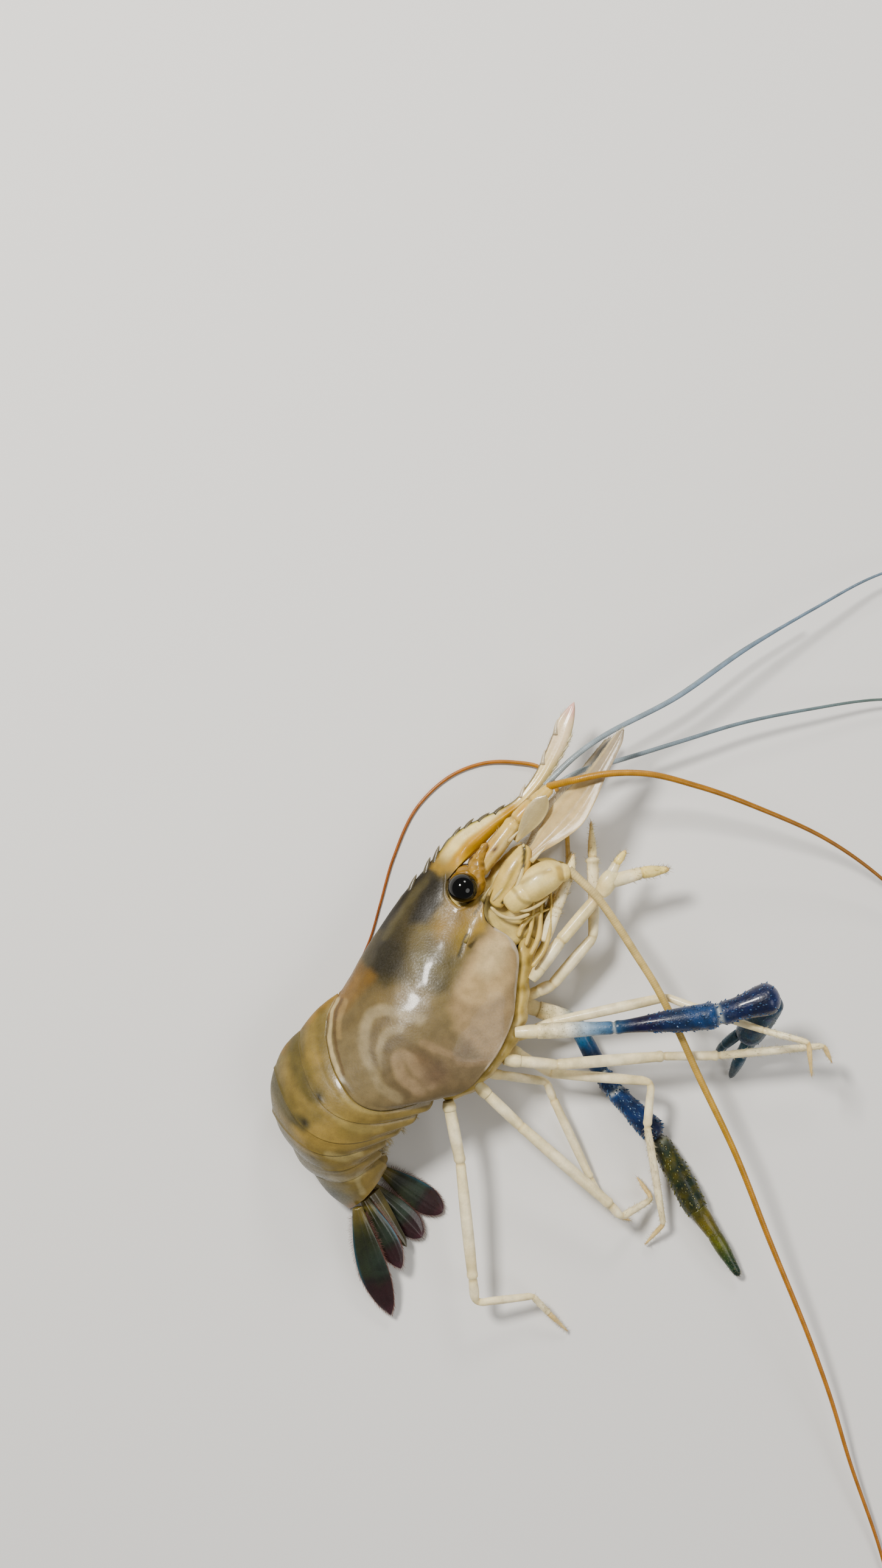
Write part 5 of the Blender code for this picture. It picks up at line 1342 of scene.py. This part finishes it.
def left_claw():
    claw_arm("left", CLAW_ARM_LEFT,
             [(0, "efe2bd"), (0.6, "cfc9b2"), (1.0, "7e93a4"), (1.3, "3c6080"), (2.0, "11385e"),
              (3.0, "0e345e"), (3.4, "0c2c54"), (3.85, "0c2042"), (4.0, "0b162e")],
             34, 2.2, 0.94, (280, 0.42, 55, "0c284c", "4c6c90", 0.5, 0.99))
    _, _, corners = stations(*CLAW_ARM_LEFT)
    root = corners[-1] + direction(-112, 0) * 0.9
    root[2] = LEFT_PALM_HEIGHT
    walk = [root]
    for length, heading, _ in LEFT_PALM:
        walk.append(walk[-1] + direction(heading, -0.4) * length)
    (points, faces, shades), path, thick = claw_palm(
        [root - direction(-124, 0)] + walk, [1.4, 2.0] + [radius for _, _, radius in LEFT_PALM],
        "1c2a1c", "57501f", head=1.4)
    cuff = 0.85 * hump(np.linalg.norm(points - (root + direction(-124, 0) * 0.4), axis=1), 0, 1.5)[:, None]
    palm = (points, faces, shades * (1 - cuff) + linear("cfd6d0") * cuff), path, thick
    fingers = (
        (walk[-2] + np.array((0.2, 0.4, -1.2)),
         [(7.2, -108, -1, 1.9, 1.6), (10.6, -112, -3, 1.55, 0.9)], 24, 1.6),
        (walk[-1] - direction(-110, 0) * 1.8 + np.array((0.5, 0.0, 1.3)),
         [(7.3, -110, -2, 2.15, 1.8), (12.0, -113, -8, 1.75, 1.0)], 26, 1.8),
    )
    claw_hand("left", palm, (220, 0.42, 56, "1a2619", "77743f"), fingers,
              [(0, "4c4a20"), (0.5, "5e5626"), (1.2, "565a28"), (1.7, "24402a"), (2, "10241f")], 0.78,
              (57, 0.6, "7d7c58", 3), (8, 59, 0.6, "87866a", 3, 0.3))


# Head.


BALL_ROWS = 48
BALL_TURNS = 64


def ball_form(centre, radius, colours):
    polar = np.linspace(0.01, np.pi - 0.01, BALL_ROWS)[:, None]
    round_ = 2 * np.pi * np.arange(BALL_TURNS)[None, :] / BALL_TURNS
    offset = np.stack([np.sin(polar) * np.cos(round_), np.sin(polar) * np.sin(round_),
                       np.broadcast_to(np.cos(polar), (BALL_ROWS, BALL_TURNS))], axis=-1)
    rings = np.array(centre) + radius * offset
    return ring_form(rings, colours(rings))


def tinted(base, marks):
    """Shades for a head limb: a base colour, soft dapples and marks placed in the side view."""
    def colours(number, share, waist, rings):
        p = Painter(rings, base)
        p.over(0.45 * wobble(rings, 1.7) + 0.1, "b39f70")
        p.over(np.broadcast_to(0.5 * waist[:, None], rings.shape[:2]), "8e7a4e")
        for mark in marks:
            p.spot(*mark)
        return p.colour
    return colours


ANTENNULE_MARKS = (
    ((31, 4.6), (4.5, 1.0), "b58636", 0.8), ((33.4, 3.2), (1.3, 0.42), "3a2230", 0.95),
    ((28.8, 0.9), (1.0, 0.5), "4c3616", 0.9, 10), ((44, 3.4), (2.0, 0.8), "c08f45", 0.6),
    ((36, 1.8), (3.0, 0.8), "e0d2a8", 0.6),
)


def eye(side, sign):
    ball = np.array((*EYE_PLACE, MIDDLE + sign * EYE_SPREAD))
    foot = np.array((24.9, 5.1, MIDDLE + sign * 4.1))
    out = unit(ball - foot)

    def eye_colours(rings):
        back = ((rings - ball) @ out) / EYE_RADIUS
        return Painter(rings, "070707").over(0.8 * (1 - ease(-0.93, -0.72, back)), "4a3a26").colour

    piece(f"eye_{side}_ball", ball_form(ball, EYE_RADIUS, eye_colours), EYE, [f"eye_{side}"])
    rings, *_ = strand([foot - out * 1.2, foot, 0.5 * (foot + ball), ball - out * 2.2],
                       [1.7, 2.3, 2.7, 3.15], 0.2, 0, 0, 40)
    stalk = dappled(rings, "8f7038", 0.5, 1.0, "5c4826")
    z = MIDDLE + sign * 5.2
    rings, *_ = strand([(19.5, 2.6, z), (22.5, 1.4, z), (26.0, 3.4, z), (29.5, 5.0, z), (33.5, 5.4, z)],
                       [1.2, 2.2, 2.4, 1.3, 0.6], 0.15, 1.0, 1.0, 36)
    rings = relief(rings, 0.22 * wobble(rings, 0.6))
    p = Painter(rings, "a08148").over(0.7 * wobble(rings, 0.8), "5f4a28")
    p.over(0.5 * np.clip(wobble(rings, 0.6, 5.0), 0, 1), "c9a660")
    p.spot((33.4, 4.6), (1.2, 0.5), "37202c", 0.9)
    forms = [stalk, ring_form(rings, p.colour)]
    piece(f"eyestalk_{side}_skin", merged(forms), BEAK, [f"eyestalk_{side}"])


def glassy(share, across, points):
    """Shades of the antennule's small scale."""
    p = Painter(points, "a89a76")
    p.over(0.6 * hump(np.abs(across), 1.0, 0.2), "d3c498")
    p.over(0.4 * np.clip(wobble(points, 1.6), 0, 1), "8f8468")
    p.over(0.5 * (1 - ease(0, 0.3, share)), "d8c288")
    return p.colour


def antennule_base(side, sign):
    form, path, number, thick = limb_form(
        (26.6, 3.2, MIDDLE + sign * 3.1),
        [(14.7, -1, 0, 2.1, 2.0), (5.6, -8, 0, 1.85, 1.7), (5.8, -12, 0, 1.6, 1.35)],
        tinted("dcc282", ANTENNULE_MARKS), 34, 0.03, tip=1.0, tail=1.0)
    thorn = cone((36.6, 1.6, MIDDLE + sign * 4.8), (40.2, 1.2, MIDDLE + sign * 5.6), 0.5, "cbb887",
                 tip_colour="e9dfc4")
    widths = [(0, 0.3), (0.15, 0.9), (0.4, 1.9), (0.65, 2.3), (0.85, 1.8), (1, 0.5)]
    leaf, _ = leaf_form((37.6, 0.2, MIDDLE + sign * 5.4), 12.6, 3, 5 * sign, widths, 0.6, -8 * sign, 0,
                        glassy, 0.02)
    name = f"antennule_base_{side}"
    piece(name + "_shell", merged([form, thorn, leaf]), BEAK, [name])
    hairs = limb_hairs(path, thick, number >= 0, 70 + sign, 0.9, "d5c8a2", 1.2, 0.3)
    piece(name + "_hairs", hairs, HAIR)


# Folds of the antenna's base in the side view, each with its radius.

ANTENNA_FOLDS = (
    ([(23.6, -3.2), (27, -3.4), (31, -3.6), (37, -1.6)], 0.42),
    ([(24.6, -5.6), (28, -5.9), (32, -5.0), (38.3, -1.3)], 0.5),
    ([(22.3, -3.6), (22.0, -6.2), (23.2, -9.4), (26.2, -11.8)], 0.45),
    ([(25.2, -7.6), (26.0, -10.2), (28.6, -12.0), (32, -12.9)], 0.4),
)


def antenna_base(side, sign):
    spots = [(24.3, -6.6, 6.5), (25.4, -6.9, 6.7), (28.4, -7.8, 7.2), (29.5, -8.1, 7.3), (31.2, -8.6, 7.3),
             (34.4, -9.5, 7.2), (36.7, -10.9, 6.9), (38.1, -12.3, 6.6), (39.3, -13.8, 6.4)]
    spots = [(s, d, MIDDLE + sign * out) for s, d, out in spots]
    path, thick = through(spots, [2.1, 2.6, 3.0, 3.05, 3.5, 3.75, 3.3, 2.3, 1.5], 0.22)
    along = lengths(path)
    thick = thick[:, 0] * (1 - 0.06 * hump(along, 5.6, 0.3) - 0.08 * hump(along, 15.2, 0.3))
    rings = tube_rings(path, rounded_ends(along, thick, 1.0, 0.8), 44)
    p = Painter(rings, "e8d498")
    p.over(0.4 * wobble(rings, 2.0), "cdb272")
    p.spot((33, -8), (3.5, 2.0), "f6e8b8", 0.8, -20)
    p.stroke([(28.6, -5), (27.6, -8), (28.4, -11)], 0.3, 0.6, "8e7b4d", 0.6)
    p.stroke([(31, -6.2), (34, -7.4), (37, -9.6)], 0.3, 0.6, "a08a58", 0.6)
    p.stroke([(38.4, -11), (37, -12.8)], 0.6, 0.7, "a98a4c", 0.6)
    bulb = ring_form(rings, p.colour)
    z = MIDDLE + sign * 6.6
    rings, *_ = strand([(22.6, -4.4, z), (25.5, -3.9, z), (30, -3.4, z), (35, -2.9, z), (38.4, -2.0, z)],
                       [1.4, 2.3, 2.9, 2.5, 1.2], 0.22, 1.0, 1.2, 36, 0.8)
    p = Painter(rings, "d8c082")
    p.over(0.4 * wobble(rings, 1.8), "b59c5c")
    p.stroke([(24.5, -5.4), (28, -5.6), (32, -5.0), (36, -3.2), (38.6, -1.4)], 0.4, 0.4, "2e2916", 0.9)
    p.stroke([(25, -3.6), (29, -3.4), (34, -2.6)], 0.4, 0.5, "8e7c46", 0.6)
    p.stroke([(23, -2), (22.4, -4.4), (22.8, -6.6)], 0.5, 0.5, "3a3420", 0.8)
    plate = ring_form(rings, p.colour)
    forms = []
    for line, radius in ANTENNA_FOLDS:
        bow = [(s, d, MIDDLE + sign * (8.5 - 0.012 * (s - 29) ** 2 - 0.025 * (d + 6) ** 2)) for s, d in line]
        rings, *_ = strand(bow, [radius] * len(bow), 0.15, 1.4, 1.4, 14)
        forms.append(dappled(rings, "d3c397", 0.4, 1.4, "a8935c"))
    thorn = cone((36, -5.0, z + sign * 1.6), (40.4, -5.6, z + sign * 2.4), 0.6, "cdbd8e",
                 tip_colour="ece2c6")
    name = f"antenna_base_{side}"
    piece(name + "_shell", merged(forms + [bulb, plate, thorn]), BEAK, [name])


def head_limbs():
    for side, sign in (("right", 1), ("left", -1)):
        eye(side, sign)
        antennule_base(side, sign)
        antenna_base(side, sign)


# Mouth strands in the side view, each with its size.

MOUTH_STRANDS = (
    ([(18.6, -17.6), (23, -16.6), (28, -13.8), (33.4, -10.4)], 0.75),
    ([(19.6, -15.4), (24, -13.9), (28.6, -11.2), (32.4, -8.4)], 0.65),
    ([(16.6, -19.4), (21.6, -19.4), (27, -17.2), (33.6, -12.6)], 0.7),
    ([(20.2, -12.8), (23.6, -12.2), (26.6, -13.0), (29.8, -15.0)], 0.8),
)


def mouth():
    table = smooth([(23.4, -18.2, 1.0, 1.2), (24.2, -18.1, 1.4, 1.6), (26, -17.6, 2.6, 1.9),
                    (29, -16.0, 2.8, 1.8), (31.5, -14.6, 1.4, 1.2), (32.2, -14.2, 0.3, 0.3)])
    s = np.linspace(23.4, 32.2, 50)
    d, high, wide = (column[:, None] for column in table(s).T)
    turn = 2 * np.pi * np.arange(28) / 28
    rings = loft(s, d + 0.5 * high * np.sin(turn), MIDDLE + wide * np.cos(turn))
    p = Painter(rings, "ead8a4").over(0.5 * wobble(rings, 1.1), "b08f50")
    # A painted highlight: a near-white glint laid on the mouth block.
    p.spot((30, -12.6), (2.2, 1.6), "fff6de", 0.9)
    forms = [ring_form(rings, p.colour)]
    hairs = []
    for sign in (1, -1):
        form, path, _, thick = limb_form(
            (25.0, -17.4, MIDDLE + sign * 0.6),
            [(5.5, 24, 3 * sign, 0.9, 0.85), (3.4, 18, 0, 0.75, 0.35)], leg_colours(), 18, tip=0.8)
        forms.append(form)
        hairs.append(limb_hairs(path, thick, 3, 80 + sign, 1.0, "d6c9a4", 5, 0.4))
        for line, size in MOUTH_STRANDS:
            bow = [(s, d, MIDDLE + sign * (5.6 - 0.09 * (s - 18.6))) for s, d in line]
            rings, *_ = strand(bow, [0.7 * size, 0.8 * size, 0.55 * size, 0.2], 0.18, 0.8, 0.6, 18)
            forms.append(dappled(rings, "cfba80", 0.6, 1.0, "9a8046"))
    piece("mouthparts_skin", merged(forms), PALE_LIMB, ["mouthparts"])
    piece("mouthparts_hairs", merged(hairs), HAIR)


# Thorax: the sternum under the shell with the roots of the limbs, and the head's block.

THORAX_BOTTOM = smooth([(-19.5, -22.2), (-16, -24.9), (-9, -26.7), (0, -27.1), (6, -25.8),
                        (11, -22.9), (15, -20.4), (20, -18.4), (22, -17.6)])
THORAX_TOP = smooth([(-19.5, -20.6), (-17.8, -22.0), (-14, -23.9), (-8, -24.7), (0, -24.2),
                     (6, -22.5), (10.4, -19.7), (14.4, -17.5), (17, -15.6), (22, -13.5)])
STUMPS = (
    (LEGS["leg_5_right"], 2.3), (LEGS["leg_4_right"], 3.9), (LEGS["leg_3_right"], 3.9),
    (CLAW_ARM_RIGHT, 5.5), (LEG_1_RIGHT, 3.9), (LEGS["leg_5_left"], 3.9), (LEGS["leg_4_left"], 3.9),
    (LEGS["leg_3_left"], 5.5), (CLAW_ARM_LEFT, 5.5), (LEG_1_LEFT, 3.9),
)


STERNUM_LOOP = ((1, 0), (1, 0.86), (0.5, 1.0), (0.04, 0.62), (0, 0), (0.04, -0.62), (0.5, -1.0), (1, -0.86),
                (1, 0))
HEAD_LOOP = ((1, 0), (1, 0.52), (0.72, 1.0), (0.3, 0.95), (0.0, 0.7), (0, -0.7), (0.3, -0.95), (0.72, -1.0),
             (1, -0.52), (1, 0))
HEAD_BLOCK = smooth([(13.2, -11.3, 5.3, 5.2), (20, -14.3, 5.8, 5.3), (23.6, -16.2, 5.8, 4.6),
                     (26.0, -15.4, 0.9, 3.4), (30, -13.2, 0.5, 2.1), (34, -10.4, 0.1, 1.8),
                     (37, -7.6, -0.7, 1.5)])


def thorax():
    s = np.linspace(-19.5, 22, 160)
    low, high = THORAX_BOTTOM(s)[:, None], THORAX_TOP(s)[:, None] + 0.5
    half = (3.5 + 2.6 * np.sin(np.pi * np.clip((s + 24) / 50, 0, 1)))[:, None]
    up, across = closed_loop(STERNUM_LOOP, 56)
    rings = loft(s, low + (high - low) * up, MIDDLE + half * across)
    rings = relief(rings, 0.18 * np.sin(s * 1.25)[:, None] * np.ones((1, 56)))
    p = Painter(rings, "c9b47a").over(0.6 * wobble(rings, 1.2) + 0.2, "97824a")
    p.spot((4, -24.6), (2.4, 1.0), "e9dfb8", 0.6)
    forms = [ring_form(rings, p.colour)]
    s = np.linspace(13.2, 37, 110)
    low, high, half = (column[:, None] for column in HEAD_BLOCK(s).T)
    up, across = closed_loop(HEAD_LOOP, 64)
    rings = loft(s, low + (high - low) * up, MIDDLE + half * across)
    rings = relief(rings, 0.3 * wobble(rings, 1.1))
    p = Painter(rings, "d6c48c").over(0.6 * wobble(rings, 1.1) + 0.1, "a38c54")
    p.over(0.5 * np.clip(wobble(rings, 0.8, 3.0), 0, 1), "d9caa0")
    p.stroke([(22, -9), (26, -9.6), (27, -14)], 0.6, 0.8, "e4d6ae", 0.6)
    forms.append(ring_form(rings, p.colour))
    for (root, articles), depth in STUMPS:
        _, heading, rise, first, _ = articles[0]
        way = direction(heading, rise)
        end = np.array(root, float) + way * 0.4
        radius = 0.8 * first
        rings, *_ = strand([end - depth * way, end - 0.3 * depth * way, end],
                           [0.8 * radius, 1.04 * radius, 0.94 * radius], 0.25, 0, 0, 26)
        forms.append(dappled(rings, "f4e8c2", 0.4, 1.2, "cbb47c", 0.1))
    piece("thorax_skin", merged(forms), PALE_LIMB, ["thorax"])


# Flagella: each has its name, root, bends, first and last radius, colours, pitch and slot.

WHIPS = (
    ("antenna_right", (39.35, -14.3, 19.6), [
        (7.0, -98, 0.8), (8.4, -107.7, 0), (7.9, -111.1, -2.2), (8.4, -111.8, -2.1),
        (12.5, -117.3, -2.3), (9.2, -119.7, -1.9), (21.9, -118.5, -4.7), (20.8, -122, -7.7),
        (30.7, -121.5, -8.6), (12.0, -123.8, -9.6), (15.9, -126.4, -8.7), (26.8, -124.9, -6.5),
        (18.0, -131, -1.5), (16.0, -143, 0), (14.0, -157, 0)], 1.08, 0.3,
     [(0, "cdbd94"), (0.15, "c0aa76"), (0.32, "ac8740"), (0.7, "a07026"), (1, "8a5c20")], 0.5, "antenna"),
    ("antenna_left", (39.65, -13.8, 6.6), [
        (6.0, 34, -36), (10.0, 42, -10), (10.6, 67.5, -2), (6.0, 114.7, -2), (5.7, 125.8, -2),
        (8.2, 143, -4), (11.6, 166, -1), (14.1, -170, 0), (11.7, -160, 0), (8.0, -160, 0),
        (10.0, -168, 0)], 0.62, 0.28,
     [(0, "c0a66c"), (0.3, "a8792c"), (0.6, "96601c"), (1, "7a4818")], 0.4, "antenna"),
    ("antennule_whip_right_outer", (53.0, 0.9, 17.5), [
        (5.5, -40, 36), (6.5, -42, 12), (9.0, -52, 0), (13.9, -66.7, -9), (16.7, -73.5, -13),
        (16.8, -77.8, -16), (17.7, -87.7, -16), (14.0, -97, -10), (12.0, -110, -5),
        (10.0, -124, 0)], 0.92, 0.3,
     [(0, "b08a3c"), (0.2, "a0782c"), (0.6, "8c6422"), (1, "74501f")], 0.4, "antennule"),
    ("antennule_whip_right_inner", (53.1, 2.1, 15.8), [
        (7.6, -10, 0), (29.7, -23.6, -3.9), (18.7, -19.2, -6.1), (18.4, -23.3, -9.4),
        (18.5, -26.5, -9), (12.0, -38, -4), (9.0, -52, -2)], 0.7, 0.28,
     [(0, "9aa2a4"), (0.3, "7f8d99"), (1, "5f6d78")], 0.45, "antennule"),
    ("antennule_whip_left_inner", (52.95, 0.4, 10.0), [
        (7.0, -24, 0), (9.4, -38.3, -3), (16.6, -37, -3.5), (12.3, -37.1, -4.7),
        (17.9, -42.3, -4.8), (17.4, -46.1, -6.6), (12.0, -55, -5), (9.0, -66, -2)], 0.7, 0.28,
     [(0, "9aa2a4"), (0.3, "78848c"), (0.8, "5d6a66"), (1, "56604f")], 0.45, "antennule"),
    ("antennule_whip_left_outer", (53.1, 2.2, 10.8), [
        (7.6, -10, 0), (29.7, -23.2, -3.9), (18.7, -19.2, -4), (14.0, -24, -4)], 0.55, 0.28,
     [(0, "9aa2a4"), (1, "6c7a84")], 0.4, "antennule"),
)


def flagella():
    """The whips. A bend is (length, heading, rise), and a colour has its share of the way."""
    for name, root, bends, radius, tip, stops, pitch, slot in WHIPS:
        corners = [np.array(root, float)]
        for length, heading, rise in bends:
            corners.append(corners[-1] + length * direction(heading, rise))
        corners[0] = corners[0] - 1.3 * direction(*bends[0][1:])
        travelled = np.concatenate([[0], np.cumsum([b[0] for b in bends])])
        total = travelled[-1]
        along = np.linspace(0, total, int(total / (0.34 * pitch)))
        path = smooth([(t, *p) for t, p in zip(travelled, corners)])(along)
        share = along / total
        thick = tip + (0.94 * radius - tip) * (1 - share) ** 1.25
        path[:, 2] = np.maximum(path[:, 2], thick + 0.02)
        wave = np.cos(2 * np.pi * along / pitch)
        rings = tube_rings(path, rounded_ends(along, thick * (1 + 0.03 * wave), 0.0, 2.0), 14)
        shade = shaded(stops)(share)
        shade = shade * (0.92 + 0.2 * (0.5 + 0.5 * wave))[:, None]
        form = ring_form(rings, np.broadcast_to(shade[:, None], rings.shape))
        piece(name + "_whip", form, FEELER, [name])


# Floor, lights and camera.


FLOOR_SIZE = 6.0
FLOOR_LEVEL = -0.00002


def floor():
    bpy.ops.mesh.primitive_plane_add(size=FLOOR_SIZE, location=(0.0, 0.0, FLOOR_LEVEL))
    plane = bpy.context.object
    plane.name = "floor"
    made = bpy.data.materials.new("floor_pale")
    made.use_nodes = True
    nodes, links = made.node_tree.nodes, made.node_tree.links
    shader = nodes["Principled BSDF"]
    shader.inputs["Roughness"].default_value = 0.85
    noise = nodes.new("ShaderNodeTexNoise")
    noise.inputs["Scale"].default_value = 14.0
    ramp = nodes.new("ShaderNodeValToRGB")
    ramp.color_ramp.elements[0].color = (0.72, 0.71, 0.685, 1)
    ramp.color_ramp.elements[1].color = (0.77, 0.76, 0.74, 1)
    links.new(noise.outputs["Fac"], ramp.inputs["Fac"])
    links.new(ramp.outputs["Color"], shader.inputs["Base Color"])
    plane.data.materials.append(made)


def lamp(name, place, size, power, colour):
    data = bpy.data.lights.new(name, "AREA")
    data.shape = "DISK"
    data.size = size
    data.energy = power
    data.color = colour
    made = bpy.data.objects.new(name, data)
    bpy.context.scene.collection.objects.link(made)
    made.location = place
    x, y, z = place
    made.rotation_euler = (math.atan2(math.hypot(x, y), z), 0, math.atan2(-y, -x) - math.pi / 2)


# Lamps: name, place, size, power and colour. All of them aim at the middle of the floor.

LAMPS = (
    ("key", (-0.34, 0.4, 0.66), 0.15, 9.0, (1.0, 0.965, 0.91)),
    ("fill", (0.6, -0.25, 0.8), 0.6, 3.4, (1.0, 0.98, 0.96)),
    ("back", (0.15, 0.75, 0.5), 0.2, 2.5, (1.0, 0.98, 0.95)),
)
WORLD_STRENGTH = 0.28


def lights_and_camera():
    for row in LAMPS:
        lamp(*row)
    world = bpy.data.worlds.new("studio")
    world.use_nodes = True
    world.node_tree.nodes["Background"].inputs["Color"].default_value = (1.0, 0.99, 0.97, 1)
    world.node_tree.nodes["Background"].inputs["Strength"].default_value = WORLD_STRENGTH
    bpy.context.scene.world = world
    data = bpy.data.cameras.new("camera")
    data.sensor_width = 36.0
    data.lens = CAMERA_LENS
    data.clip_start = 0.01
    made = bpy.data.objects.new("camera", data)
    made.location = (EYE_AT[0] + CAMERA_FROM_EYE[0], EYE_AT[1] + CAMERA_FROM_EYE[1], CAMERA_HEIGHT)
    bpy.context.scene.collection.objects.link(made)
    bpy.context.scene.camera = made


carapace()
rostrum()
abdomen()
tail_fan()
antenna_scales()
walking_legs()
small_claws()
right_claw()
left_claw()
head_limbs()
mouth()
thorax()
flagella()
floor()
lights_and_camera()
